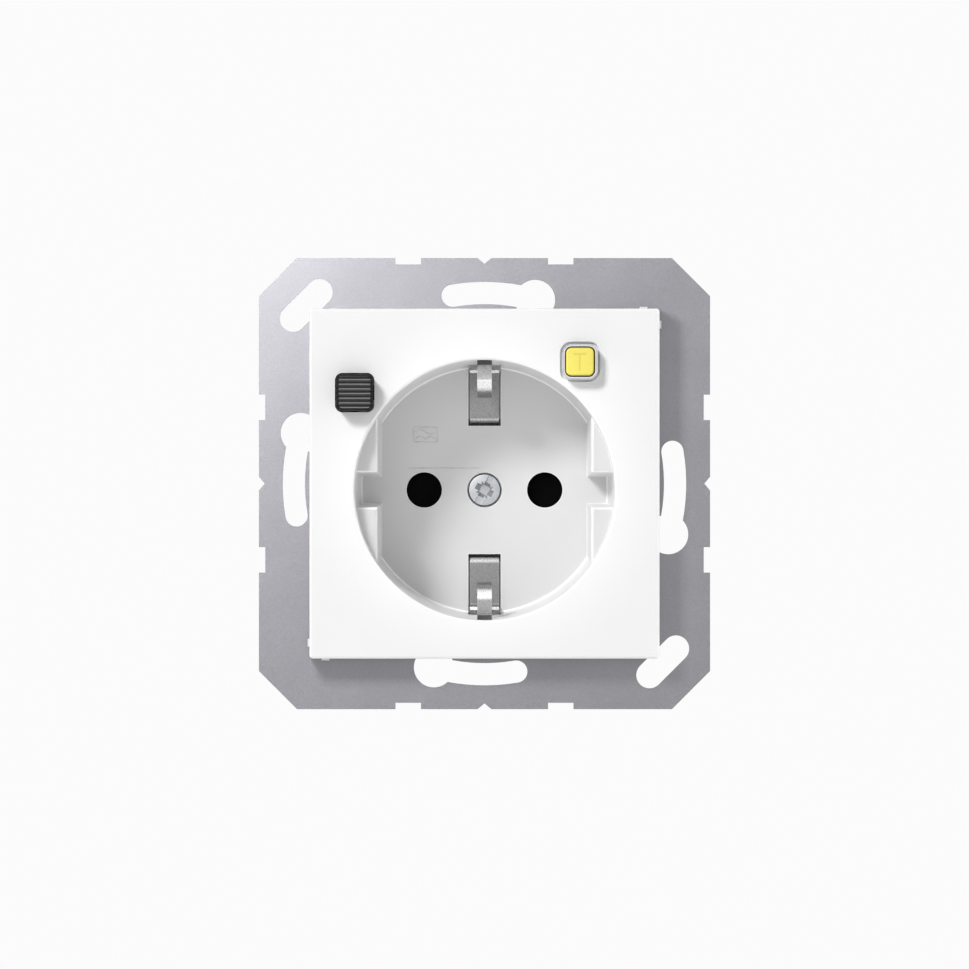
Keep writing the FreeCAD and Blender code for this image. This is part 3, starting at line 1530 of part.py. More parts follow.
piece("reset_button", make_reset_button())
spring_y = (face_y + s.chimney_depth + s.rest_gap + s.lip_wall, seat_y)
piece("reset_spring", coil("reset_coil", reset_place, "y", spring_y, s.reset_coil, 3.5))


# Test button and the sprung leaf that it presses on to its contact

leaf_y = board_at - s.leaf_stand


def make_test_button():
    side, stem = s.test_side, s.test_stem
    lip_y = (face_y + s.face_wall + s.rest_gap, face_y + s.face_wall + s.rest_gap + s.lip_wall)
    front = face_y - s.test_proud
    body = new_body("test_body", (test_place[0], 0, test_place[1]))
    pad(body, "XZ", (front, lip_y[1]), corners(0, 0, side, side))
    round_edges(body, s.test_corner, runs_along("y"))
    round_edges(body, s.test_round, lies_at(y=front))
    pad(body, "XZ", lip_y, corners(0, 0, side + 2 * s.lip_reach, s.lip_width))
    pad(body, "XZ", (lip_y[0], leaf_y - s.rest_gap), corners(0, 0, stem, stem))
    return body


leaf_x = (s.test_across - s.leaf_width / 2, s.test_across + s.leaf_width / 2)
leaf_root = s.test_up - s.test_stem / 2 - s.leaf_root
leaf_end = s.test_up + s.leaf_width / 2
piece("test_button", make_test_button())
piece("test_leaf", join(
    "leaf_solid",
    block("leaf_leg", leaf_x, (leaf_y, board_at), (leaf_root, leaf_root + s.leaf_sheet)),
    block("leaf_arm", leaf_x, (leaf_y, leaf_y + s.leaf_sheet), (leaf_root, leaf_end)),
))
test_contact_y = (leaf_y + s.leaf_sheet + s.test_travel + s.screw_gap, board_at)
piece("test_contact", bar("test_contact_bar", "y", test_place, test_contact_y, s.test_contact / 2))


# Circuit board with the test resistor and the surge arrester

board_half = cage_outer - s.board_margin
board = new_body("board_body")
board_through = (board_at - OVER, board_back + OVER)
pad(board, "XZ", (board_at, board_back), cut_square(board_half, s.base_corner))
board_tools = [
    bar(f"board_hole{number}", "y", place, board_through, s.boss_radius + s.screw_gap)
    for number, place in enumerate(COVER_SCREW_PLACES)
]
arm_room = s.blade_width / 2 + s.rest_gap
for side in (-1, 1):
    x = (pin_x * side - arm_room, pin_x * side + arm_room)
    arm_z = (fin_low - s.blade_sheet - s.rest_gap, fin_low + s.rest_gap)
    board_tools.append(block(f"board_window{side + 1}", x, board_through, arm_z))
piece("circuit_board", cut("board_cut", board, *board_tools))


def bent_wire(name, low_x, high_x, depth, up):
    """A component's wire: out of the board, across at a depth in front of it, and back."""
    ends = (board_at.value, float(depth))
    corner_points = [(low_x, ends[0], up), (low_x, ends[1], up), (high_x, ends[1], up), (high_x, ends[0], up)]
    return from_shape(name, wire_along(corner_points, s.part_wire / 2, s.part_wire))


resistor_y = board_at - s.resistor_stand
resistor_place = (resistor_y, s.resistor_up)
resistor_low, resistor_high = s.resistor_at - s.resistor_length / 2, s.resistor_at + s.resistor_length / 2
cap_length = s.resistor_length / 5
low_cap, high_cap = (resistor_low, resistor_low + cap_length), (resistor_high - cap_length, resistor_high)
resistor_wire = (resistor_low - s.wire_out, resistor_high + s.wire_out)
piece("test_resistor", join(
    "resistor_solid",
    bar("resistor_bar", "x", resistor_place, (resistor_low, resistor_high), s.resistor_bore / 2),
    bar("resistor_cap_low", "x", resistor_place, low_cap, s.resistor_cap / 2),
    bar("resistor_cap_high", "x", resistor_place, high_cap, s.resistor_cap / 2),
    bent_wire("resistor_wire", *resistor_wire, resistor_y, s.resistor_up),
))
arrester_back = board_at - s.arrester_stand
arrester_y = (arrester_back - s.arrester_sheet, arrester_back)
arrester_place = (s.arrester_across, -s.arrester_drop)
arrester_wire = (s.arrester_across - s.arrester_pins / 2, s.arrester_across + s.arrester_pins / 2)
piece("surge_arrester", join(
    "arrester_solid",
    bar("arrester_disc", "y", arrester_place, arrester_y, s.arrester_bore / 2),
    bent_wire("arrester_wire", *arrester_wire, arrester_back - s.arrester_sheet / 2, -s.arrester_drop),
))


# Check the document, then write each sub-part

doc.recompute()
for thing in doc.Objects:
    if "Invalid" in thing.State or "Error" in thing.State:
        raise ValueError(f"{thing.Label} failed: {thing.State}")
os.makedirs("parts", exist_ok=True)
for thing in PARTS:
    if thing.Shape.isNull() or not thing.Shape.isValid():
        raise ValueError(f"{thing.Label} has no valid shape")
    thing.Shape.exportStep(f"parts/{thing.Label}.step")
    print(thing.Label, len(thing.Shape.Solids), round(thing.Shape.Volume, 2))
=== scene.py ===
"""A residual current device socket insert, dressed for a straight front view of its recess."""
import math

import bmesh
import bpy
from mathutils import Matrix, Vector


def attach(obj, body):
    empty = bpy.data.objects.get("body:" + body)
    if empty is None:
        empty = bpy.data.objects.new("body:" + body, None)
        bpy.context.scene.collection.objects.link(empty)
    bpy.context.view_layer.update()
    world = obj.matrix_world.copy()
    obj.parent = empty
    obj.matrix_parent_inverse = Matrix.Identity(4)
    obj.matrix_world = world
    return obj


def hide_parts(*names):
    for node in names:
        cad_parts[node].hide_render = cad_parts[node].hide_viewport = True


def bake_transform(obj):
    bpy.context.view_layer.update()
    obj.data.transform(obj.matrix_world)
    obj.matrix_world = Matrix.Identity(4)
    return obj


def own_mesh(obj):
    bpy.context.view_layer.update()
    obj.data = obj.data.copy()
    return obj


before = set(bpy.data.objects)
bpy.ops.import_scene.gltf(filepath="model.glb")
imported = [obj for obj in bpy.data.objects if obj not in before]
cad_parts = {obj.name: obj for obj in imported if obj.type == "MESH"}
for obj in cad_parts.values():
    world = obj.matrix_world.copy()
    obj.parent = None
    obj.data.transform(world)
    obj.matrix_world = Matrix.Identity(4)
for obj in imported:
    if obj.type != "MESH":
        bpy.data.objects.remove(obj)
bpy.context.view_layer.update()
MM = 0.001


# The camera looks straight at the face from a long way off, as the catalogue picture does, so the
# sides of the recess hardly show and the support frame fills a little under half of the view.
def new_object(name, data):
    made = bpy.data.objects.new(name, data)
    bpy.context.collection.objects.link(made)
    return made


VIEW_WIDTH = 152.5 * MM
CAMERA_BACK = 5.0
CAMERA_DROP = 0.14 * MM
SENSOR = 36.0
camera = new_object("camera", bpy.data.cameras.new("camera"))
camera.data.sensor_width = SENSOR
camera.data.lens = SENSOR * CAMERA_BACK / VIEW_WIDTH
camera.location = (0, -CAMERA_BACK - 1 * MM, -CAMERA_DROP)
camera.rotation_euler = (math.radians(90), 0, 0)
camera.data.clip_start = 0.1
camera.data.clip_end = 50
bpy.context.scene.camera = camera
bpy.context.scene.view_settings.view_transform = "Standard"


# Studio: a white room for anything that looks straight at it, a soft fill that is stronger from the
# sides and the right, and lamps high on the left, so shadows fall to the lower right.
def add_node(tree, kind, **settings):
    """A new node. A kind with no family in its name belongs to the tree's own family."""
    if "Node" not in kind:
        kind = tree.bl_idname.replace("Tree", "") + kind
    made = tree.nodes.new(kind)
    for key, value in settings.items():
        setattr(made, key, value)
    return made


def feed(socket, term):
    """Links a term to an input, or sets the input where the term is a plain value."""
    if isinstance(term, bpy.types.NodeSocket):
        socket.id_data.links.new(term, socket)
    else:
        socket.default_value = term


def fed(tree, kind, feeds=None, **settings):
    """The outputs of a new node whose inputs, by name or number, take the feeds."""
    made = add_node(tree, kind, **settings)
    for key, term in (feeds or {}).items():
        feed(made.inputs[key], term)
    return made.outputs


def tree_of(*terms):
    return next(term.id_data for term in terms if isinstance(term, bpy.types.NodeSocket))


def worked(operation, *terms, **settings):
    """A sum, product or other working of numbers and sockets."""
    return fed(tree_of(*terms), "ShaderNodeMath", dict(enumerate(terms)), operation=operation, **settings)[0]


def ranged(value, low, high, start=0.0, end=1.0):
    """value taken from low..high to start..end, each a number or a socket."""
    return fed(value.id_data, "ShaderNodeMapRange", {
        "Value": value, "From Min": low, "From Max": high, "To Min": start, "To Max": end},
        clamp=True)["Result"]


FRONT_FILL = 0.20
SIDE_FILL = 0.36
FILL_LEAN = (0.16, 0.0, -0.04)
ROOM_SEEN = 0.968
world = bpy.data.worlds.new("white_room")
world.use_nodes = True
bpy.context.scene.world = world
room = world.node_tree
room.nodes.clear()
way = fed(room, "TexCoord")["Generated"]
lean = fed(room, "VectorMath", {0: way, 1: FILL_LEAN}, operation="DOT_PRODUCT")["Value"]
frontness = worked("ABSOLUTE", fed(room, "SeparateXYZ", {"Vector": way})["Y"])
fill = worked("ADD", ranged(frontness, 0.0, 1.0, SIDE_FILL, FRONT_FILL), lean)
ray = fed(room, "LightPath")
seen = worked("MAXIMUM", worked("MAXIMUM", ray["Is Camera Ray"], ray["Is Glossy Ray"]),
              ray["Is Transmission Ray"])
room_light = fed(room, "Background", {
    "Color": (1, 1, 1, 1), "Strength": ranged(seen, 0.0, 1.0, fill, ROOM_SEEN)})
fed(room, "OutputWorld", {"Surface": room_light["Background"]})


def add_lamp(name, kind, power, place, lights_matt):
    """A lamp at place that faces the recess and lights either matt surfaces or the gloss on metal."""
    lamp = new_object(name, bpy.data.lights.new(name, kind))
    lamp.data.energy = power
    lamp.location = place
    lamp.rotation_euler = Vector(place).to_track_quat("Z", "Y").to_euler()
    lamp.visible_camera = False
    lamp.visible_diffuse = lights_matt
    lamp.visible_glossy = not lights_matt
    return lamp.data


key_aim = Vector((-0.69, -1, 0.82)).normalized()
key_lamp = add_lamp("key_lamp", "AREA", 69.0, key_aim * 3.0, True)
key_lamp.size = 0.70
side_lamp = add_lamp("side_lamp", "AREA", 19.0, Vector((2.1, -0.02, -0.1)), True)
side_lamp.size = 0.30
sheen_lamp = add_lamp("sheen_lamp", "AREA", 0.36, Vector((-0.082, -0.249, 0.082)), False)
sheen_lamp.size = 0.05
recess_lamp = add_lamp("recess_lamp", "SPOT", 13.0, Vector((0, -1.2, -0.001)), True)
recess_lamp.spot_size = 2 * math.atan(20.2 / 1190)
recess_lamp.spot_blend = 0.0
recess_lamp.shadow_soft_size = 0.01


# Floor: matt pale board well below the socket, which keeps the shadow. It is seen from above only.
def light_value(level):
    """A level as it is seen, 0 to 255, turned into the light that a surface gives back."""
    level = level / 255
    return level / 12.92 if level <= 0.04045 else ((level + 0.055) / 1.055) ** 2.4


def tint(*levels):
    """A colour from its red, green and blue as they are seen, or from one level for a grey."""
    return (*map(light_value, levels if len(levels) == 3 else levels * 3), 1.0)


FLOOR_DROP = 0.30
FLOOR_HALF = 2.4
floor_mesh = bpy.data.meshes.new("floor")
floor_mesh.from_pydata(
    [(x * FLOOR_HALF, y * FLOOR_HALF, -FLOOR_DROP) for x, y in ((-1, -1), (1, -1), (1, 1), (-1, 1))],
    [], [(0, 1, 2, 3)])
floor = new_object("floor", floor_mesh)
floor_paint = bpy.data.materials.new("floor_paint")
floor_paint.use_nodes = True
paint = floor_paint.node_tree
board = paint.nodes["Principled BSDF"]
board.inputs["Base Color"].default_value = tint(240)
board.inputs["Roughness"].default_value = 0.9
upper_side = fed(paint, "MixShader", {
    "Fac": 0.45, 1: board.outputs["BSDF"], 2: fed(paint, "Emission", {"Strength": 0.97})["Emission"]})
both_sides = fed(paint, "MixShader", {
    "Fac": fed(paint, "NewGeometry")["Backfacing"], 1: upper_side["Shader"],
    2: fed(paint, "BsdfTransparent")["BSDF"]})
feed(paint.nodes["Material Output"].inputs["Surface"], both_sides["Shader"])
floor_mesh.materials.append(floor_paint)


# Socket base: the grey thermoplastic moulding that carries the contacts behind the recess. Its skin
# is spark-eroded and a little paler along the corners. Behind each clip slot, where it lies in shade,
# it is painted near white: a painted light.
def product(first, *factors):
    for factor in factors:
        first = worked("MULTIPLY", first, factor)
    return first


def blended(share, first, second, kind="MIX"):
    """first turned into second by share. Each is a plain value or a socket."""
    return fed(tree_of(share, first, second), "ShaderNodeMix", {0: share, 6: first, 7: second},
               data_type="RGBA", blend_type=kind)[2]


def noise_at(place, scale, detail=3.0, stretch=None):
    """A noise on the piece's own coordinates, stretched along an axis where stretch is given."""
    tree = place.id_data
    if stretch:
        place = fed(tree, "Mapping", {"Scale": stretch, "Vector": place})["Vector"]
    return fed(tree, "TexNoise", {"Detail": detail, "Vector": place, "Scale": scale})["Fac"]


def corner_mask(width, source):
    """1 along the corners of a piece and 0 on its flats, from how far a rounded normal turns."""
    tree = width.id_data
    rounded = fed(tree, "Bevel", {"Radius": width}, samples=4)["Normal"]
    likeness = fed(tree, "VectorMath", {0: rounded, 1: fed(tree, "NewGeometry")["Normal"]},
                   operation="DOT_PRODUCT")["Value"]
    return product(ranged(likeness, 0.985, 0.80), source)


def kind_of(value):
    if isinstance(value, tuple):
        return "Vector" if len(value) == 3 else "Color"
    return {bool: "Bool", int: "Int", float: "Float"}[type(value)]


def add_sockets(tree, way, sockets):
    """Named sockets, each with its first value, or with the name of its kind where it has none."""
    for key, value in sockets.items():
        bare = isinstance(value, str)
        kind = value if bare else kind_of(value)
        made = tree.interface.new_socket(name=key, in_out=way, socket_type="NodeSocket" + kind)
        if not bare:
            made.default_value = value


def new_skin(name, sizes):
    """A shader group for a skin. Gives the group, its inputs and the piece's own coordinates."""
    tree = bpy.data.node_groups.new(name, "ShaderNodeTree")
    colours = dict.fromkeys(("Colour", "Drift colour", "Corner colour"), (0.5, 0.5, 0.5, 1.0))
    add_sockets(tree, "INPUT", {**colours, "Roughness": 0.5, **sizes})
    add_sockets(tree, "OUTPUT", {"Colour": "Color", "Roughness": "Float", "Normal": "Vector"})
    return tree, fed(tree, "NodeGroupInput"), fed(tree, "TexCoord")["Object"]


def finish_skin(given, colour, patch, rough_spread, relief, strength, depth):
    """Ends a skin: corners of their own colour, an uneven roughness and a fine relief."""
    tree = colour.id_data
    bump = fed(tree, "Bump", {"Distance": depth, "Strength": strength, "Height": relief})
    fed(tree, "NodeGroupOutput", {
        "Colour": blended(corner_mask(given["Corner width"], patch), colour, given["Corner colour"]),
        "Roughness": worked("ADD", rough_spread, given["Roughness"], use_clamp=True),
        "Normal": bump["Normal"]})


moulded_skin, given, place = new_skin("moulded_skin", {
    "Grain scale": 9000.0, "Grain height": 0.2, "Corner width": 0.0003, "Corner evenness": 0.0})
drift = ranged(noise_at(place, 55.0, 4.0), 0.32, 0.68)
speck = ranged(noise_at(place, 2600.0, 2.0), 0.45, 0.72)
finish_skin(given, blended(drift, given["Colour"], given["Drift colour"]),
            ranged(noise_at(place, 700.0), 0.30, 0.62, given["Corner evenness"]),
            ranged(speck, 0.0, 1.0, -0.05, 0.06),
            noise_at(place, given["Grain scale"], 2.0), given["Grain height"], 0.00003)


def skin_material(name, group, colours, sizes, shine):
    """A material whose shader takes its colour, roughness and normal from a skin group."""
    made = bpy.data.materials.new(name)
    made.use_nodes = True
    shades = zip(("Colour", "Drift colour", "Corner colour"), (tint(*levels) for levels in colours))
    skin = fed(made.node_tree, "Group", {**dict(shades), **sizes}, node_tree=group)
    for key, term in {"Base Color": skin["Colour"], "Roughness": skin["Roughness"],
                      "Normal": skin["Normal"], **shine}.items():
        feed(made.node_tree.nodes["Principled BSDF"].inputs[key.replace("_", " ")], term)
    return made


def moulded(name, colour, drift_colour, corner_colour, roughness, grain_scale, grain_height, **shine):
    return skin_material(name, moulded_skin, (colour, drift_colour, corner_colour), {
        "Roughness": roughness, "Grain scale": grain_scale, "Grain height": grain_height}, shine)


def skin_of(material):
    return material.node_tree.nodes["Group"]


def beyond(value, limit, fade):
    """0 up to the limit and 1 from a fade past it."""
    return ranged(value, limit, limit + fade)


def within(value, limit, fade):
    """1 up to the limit and 0 from a fade past it."""
    return ranged(value, limit, limit + fade, 1.0, 0.0)


def own_place(material):
    """The parts of a point's place on its own piece."""
    tree = material.node_tree
    return fed(tree, "SeparateXYZ", {"Vector": fed(tree, "TexCoord")["Object"]})


def dress(material, *nodes):
    """Puts the material on each CAD node."""
    for node in nodes:
        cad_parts[node].material_slots[0].material = material


RECESS_HEIGHT = -1.0 * MM
SEAT_FRONT = 9.6 * MM
SEAT_HALF = 2.9 * MM
SEAT_START = 18.7 * MM
SEAT_END = 20.4 * MM
SEAT_FADE = 0.1 * MM
base_plastic = moulded("base_thermoplastic", (176, 178, 180), (168, 170, 173), (196, 198, 200),
                       0.52, 5200.0, 0.35, IOR=1.49)
base_place = own_place(base_plastic)
base_high = worked("ABSOLUTE", worked("SUBTRACT", base_place["Z"], RECESS_HEIGHT))
# Painted light: the shaded patch behind each clip slot is painted near white.
seat_painted_light = product(within(base_place["Y"], SEAT_FRONT, SEAT_FADE),
                    within(worked("ABSOLUTE", base_place["X"]), SEAT_HALF, SEAT_FADE),
                    beyond(base_high, SEAT_START, SEAT_FADE), within(base_high, SEAT_END, SEAT_FADE))
seat_painted_light_colour = blended(seat_painted_light, tint(176, 178, 180), tint(252))
for tone in ("Colour", "Drift colour"):
    feed(skin_of(base_plastic).inputs[tone], seat_painted_light_colour)
dress(base_plastic, "socket_base")


# Shutter: two blades of black acetal on a hub that turns on the base's pillar. At rest they cover the
# pin holes from behind.
shutter_acetal = moulded("shutter_acetal", (4, 4, 5), (7, 7, 8), (24, 24, 25), 0.62, 4200.0, 0.25,
                         Specular_IOR_Level=0.02)
dress(shutter_acetal, "shutter")


# Pin contacts, earth bridge and rivets: stamped brass strip, still bright from the press and a touch
# darker in places. The rivets hold both earth clips to the bridge.
plated_skin, given, place = new_skin("plated_skin", {
    "Speck scale": 4000.0, "Speck depth": 0.3, "Brush height": 0.1, "Corner width": 0.00015})
drift = ranged(noise_at(place, 90.0, 4.0), 0.30, 0.70)
flakes = fed(plated_skin, "TexVoronoi", {"Vector": place, "Scale": given["Speck scale"]})["Color"]
flake_tone = fed(plated_skin, "RGBToBW", {"Color": flakes})["Val"]
flake_level = ranged(flake_tone, 0.15, 0.85, worked("SUBTRACT", 1.0, given["Speck depth"]), 1.0)
flake_grey = fed(plated_skin, "CombineColor", dict.fromkeys(("Red", "Green", "Blue"), flake_level))["Color"]
metal_colour = blended(drift, given["Colour"], given["Drift colour"])
finish_skin(given, blended(1.0, metal_colour, flake_grey, "MULTIPLY"),
            ranged(noise_at(place, 900.0), 0.28, 0.60), ranged(flake_tone, 0.1, 0.9, -0.06, 0.08),
            noise_at(place, 1500.0, 3.0, (1.0, 1.0, 9.0)), given["Brush height"], 0.00002)


def plated(name, colour, drift_colour, corner_colour, roughness, speck_scale, speck_depth, brush_height,
           metallic=1.0):
    return skin_material(name, plated_skin, (colour, drift_colour, corner_colour), {
        "Roughness": roughness, "Speck scale": speck_scale, "Speck depth": speck_depth,
        "Brush height": brush_height}, {"Metallic": metallic})


pressed_brass = plated("pressed_brass", (214, 178, 104), (196, 158, 88), (236, 208, 142),
                       0.28, 1800.0, 0.14, 0.25)
dress(pressed_brass, "line_tulip", "neutral_tulip", "earth_bridge", "earth_rivets", "line_fixed_contact",
      "neutral_fixed_contact", "test_contact", "screw_insert")


# Earth clips: nickel-plated spring strip that stands out of the recess floor at the top and at the
# bottom, with a sprung tongue that meets the plug's side contact. Painted highlights: the tongue's
# crest, the shoulders, the lower bend and the corners near white, and the tongue's slope lighter.
# Painted shade: the tongue's ends dark.
def band_mask(distance, middle, reach):
    """1 where distance is middle, fading to 0 at reach to either side."""
    return ranged(worked("ABSOLUTE", worked("SUBTRACT", distance, middle)), reach * 0.25, reach, 1.0, 0.0)


def repaint(material, colour, coats):
    """Lays coats, each a mask and a colour, over a colour and gives the shader the last."""
    for mask, coat in coats:
        colour = blended(mask, colour, coat)
    feed(material.node_tree.nodes["Principled BSDF"].inputs["Base Color"], colour)


BEND_RADIUS = 10.85 * MM
BEND_REACH = 0.6 * MM
TONGUE_HALF = 1.14 * MM
TONGUE_START = 14.75 * MM
TONGUE_END = 19.62 * MM
CREST_RADIUS = 16.4 * MM
CREST_REACH = 1.1 * MM
SLOPE_RADIUS = 16.6 * MM
SHOULDER_RADIUS = 18.30 * MM
SHOULDER_DEPTH = 3.05 * MM
clip_nickel = plated("satin_nickel_strip", (139, 139, 139), (134, 134, 134), (206, 206, 205),
                     0.30, 9000.0, 0.03, 0.02, 0.55)
clip_place = own_place(clip_nickel)
outward = worked("ABSOLUTE", worked("SUBTRACT", clip_place["Z"], RECESS_HEIGHT))
on_tongue = worked("LESS_THAN", worked("ABSOLUTE", clip_place["X"]), TONGUE_HALF)
tongue_slope_painted_light = beyond(outward, SLOPE_RADIUS, 1.0 * MM)
tongue_ends_painted_shade = worked("MAXIMUM", band_mask(outward, TONGUE_START, 0.32 * MM),
                     beyond(outward, TONGUE_END, 0.10 * MM))
shoulder_painted_highlight = product(beyond(outward, SHOULDER_RADIUS, 0.12 * MM),
                   within(clip_place["Y"], SHOULDER_DEPTH, 0.2 * MM),
                   worked("SUBTRACT", 1.0, on_tongue))
crest_painted_highlight = worked("MAXIMUM", product(band_mask(outward, CREST_RADIUS, CREST_REACH), on_tongue), shoulder_painted_highlight)
# Painted light and shade: the tongue's slope lighter, its ends dark as painted shade, and its crest, the
# shoulders and the lower bend near white as painted highlights.
repaint(clip_nickel, skin_of(clip_nickel).outputs["Colour"], (
    (product(tongue_slope_painted_light, on_tongue), tint(176)), (product(tongue_ends_painted_shade, on_tongue), tint(98)),
    (crest_painted_highlight, tint(250, 250, 249)), (band_mask(outward, BEND_RADIUS, BEND_REACH), tint(234, 234, 233))))
dress(clip_nickel, "earth_clip_top", "earth_clip_bottom")


# Summation transformer: a ferrite ring wound with enamelled copper, through which both leads pass.
def new_growth(name, sizes):
    """A geometry tree with named inputs. Gives the tree and its inputs."""
    tree = bpy.data.node_groups.new(name, "GeometryNodeTree")
    add_sockets(tree, "INPUT", {"Geometry": "Geometry", **sizes, "Material": "Material"})
    add_sockets(tree, "OUTPUT", {"Geometry": "Geometry"})
    return tree, fed(tree, "NodeGroupInput")


def wired(curve, radius, sides):
    """Round wire along a curve."""
    tree = curve.id_data
    ring = fed(tree, "CurvePrimitiveCircle", {"Resolution": sides, "Radius": radius})["Curve"]
    return fed(tree, "CurveToMesh", {"Curve": curve, "Profile Curve": ring, "Fill Caps": True})["Mesh"]


def finish_growth(given, geometry):
    """Ends a tree: real geometry, smooth but for the edges marked sharp, in the given material."""
    tree = geometry.id_data
    for kind, more in (("RealizeInstances", {}), ("SetShadeSmooth", {}),
                       ("SetMaterial", {"Material": given["Material"]})):
        geometry = fed(tree, kind, {"Geometry": geometry, **more})["Geometry"]
    fed(tree, "NodeGroupOutput", {"Geometry": geometry})


def points_mesh(name, points, edges=()):
    made = bpy.data.meshes.new(name)
    made.from_pydata([tuple(point) for point in points], list(edges), [])
    return made


def grow(name, tree, start=None, **sizes):
    """Runs a tree on a start mesh with its sizes set, and keeps the result as a plain piece."""
    maker = new_object(name + "_maker", start or points_mesh("no_start", []))
    growth = maker.modifiers.new("growth", "NODES")
    growth.node_group = tree
    for item in tree.interface.items_tree:
        key = item.name.replace(" ", "_").lower()
        if item.in_out == "INPUT" and key in sizes:
            growth[item.identifier] = sizes[key]
    grown = bpy.data.meshes.new_from_object(maker.evaluated_get(bpy.context.evaluated_depsgraph_get()))
    bpy.data.objects.remove(maker)
    grown.name = name
    grown.set_sharp_from_angle(angle=math.radians(50))
    return new_object(name, grown)


CORE_MIDDLE = (0, 20.7 * MM, -13.5 * MM)
core_ferrite = moulded("sintered_ferrite", (58, 56, 55), (48, 46, 46), (92, 90, 88), 0.60, 3000.0, 0.6,
                       IOR=1.6)
dress(core_ferrite, "sum_core")
winding_enamel = plated("winding_enamel", (176, 92, 48), (158, 76, 38), (206, 126, 74),
                        0.26, 2400.0, 0.12, 0.2)
tree, given = new_growth("wound_turns", {
    "Turns": 20, "Loop width": 0.005, "Loop depth": 0.005, "Loop middle": 0.005, "Wire radius": 0.0002,
    "First angle": 0.1, "Last angle": 3.0, "Middle": (0, 0, 0)})
loop = fed(tree, "CurvePrimitiveQuadrilateral",
           {"Width": given["Loop width"], "Height": given["Loop depth"]})["Curve"]
loop_round = fed(tree, "FilletCurve", {
    "Curve": loop, "Count": 4, "Radius": product(given["Wire radius"], 2.2)}, mode="POLY")["Curve"]
out_to_loop = fed(tree, "ShaderNodeCombineXYZ", {"X": given["Loop middle"]})["Vector"]
loop_placed = fed(tree, "Transform", {"Geometry": loop_round, "Translation": out_to_loop})["Geometry"]
turn_angle = ranged(fed(tree, "InputIndex")["Index"], 0.0, worked("SUBTRACT", given["Turns"], 1.0),
                    given["First angle"], given["Last angle"])
all_turns = fed(tree, "InstanceOnPoints", {
    "Points": fed(tree, "MeshLine", {"Count": given["Turns"], "Offset": (0, 0, 0)})["Mesh"],
    "Instance": wired(loop_placed, given["Wire radius"], 10),
    "Rotation": fed(tree, "ShaderNodeCombineXYZ", {"Y": turn_angle})["Vector"]})["Instances"]
finish_growth(given, fed(tree, "Transform", {
    "Geometry": all_turns, "Translation": given["Middle"]})["Geometry"])
winding = grow("core_turns", tree, turns=26, loop_width=4.34 * MM, loop_depth=5.54 * MM,
               loop_middle=5.1 * MM, wire_radius=0.24 * MM, first_angle=math.radians(5),
               last_angle=math.radians(175), middle=CORE_MIDDLE, material=winding_enamel)
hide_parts("core_winding")
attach(winding, "housing")
line_insulation = moulded("line_insulation", (104, 66, 44), (94, 58, 38), (132, 92, 66), 0.46, 2600.0, 0.2,
                          IOR=1.5)
neutral_insulation = moulded("neutral_insulation", (62, 104, 176), (54, 94, 162), (102, 142, 206),
                             0.46, 2600.0, 0.2, IOR=1.5)
dress(line_insulation, "line_conductor")
dress(neutral_insulation, "neutral_conductor")


# Contact lever of black acetal with both silvered contacts: the moving half of the breaker, on a steel
# pin. Flexible copper leads feed the contacts, each of six strands laid round a core.
def bent_path(given, steps):
    """The edges of the start mesh as a curve, its corners rounded by the bend radius."""
    tree = tree_of(given["Geometry"])
    drawn = fed(tree, "MeshToCurve", {"Mesh": given["Geometry"]})["Curve"]
    return fed(tree, "FilletCurve", {"Curve": drawn, "Count": steps, "Radius": given["Bend radius"],
                                     "Limit Radius": True}, mode="POLY")["Curve"]


def joined(*parts):
    whole = add_node(parts[0].id_data, "JoinGeometry")
    for part in parts:
        feed(whole.inputs["Geometry"], part)
    return whole.outputs["Geometry"]


dress(shutter_acetal, "contact_lever")
contact_silver = plated("silver_faced_contact", (214, 212, 206), (196, 194, 188), (236, 235, 230),
                        0.24, 2200.0, 0.10, 0.2)
dress(contact_silver, "line_moving_contact", "neutral_moving_contact")
bare_copper = plated("bare_copper_braid", (190, 112, 72), (168, 92, 56), (222, 150, 108),
                     0.36, 3800.0, 0.30, 0.5)
tree, given = new_growth("stranded_lead", {
    "Strands": 6, "Strand radius": 0.0002, "Lay radius": 0.0004, "Turn in a metre": 1500.0,
    "Bend radius": 0.001})
route = fed(tree, "ResampleCurve", {"Curve": bent_path(given, 6), "Count": 70})["Curve"]
strands = fed(tree, "DuplicateElements", {"Geometry": route, "Amount": given["Strands"]}, domain="SPLINE")
lay_angle = worked("MULTIPLY_ADD", worked("DIVIDE", strands["Duplicate Index"], given["Strands"]), math.tau,
                   product(fed(tree, "SplineParameter")["Length"], given["Turn in a metre"]))
aside = fed(tree, "InputNormal")["Normal"]
across = fed(tree, "ShaderNodeVectorMath", {0: fed(tree, "InputTangent")["Tangent"], 1: aside},
             operation="CROSS_PRODUCT")["Vector"]
lay_parts = [
    fed(tree, "ShaderNodeVectorMath", {
        0: direction, "Scale": product(worked(swing, lay_angle), given["Lay radius"])},
        operation="SCALE")["Vector"]
    for direction, swing in ((aside, "COSINE"), (across, "SINE"))]
lay_offset = fed(tree, "ShaderNodeVectorMath", dict(enumerate(lay_parts)), operation="ADD")["Vector"]
laid = fed(tree, "SetPosition", {"Geometry": strands["Geometry"], "Offset": lay_offset})["Geometry"]
finish_growth(given, wired(joined(laid, route), given["Strand radius"], 8))
CONTACT_ACROSS = -5.2
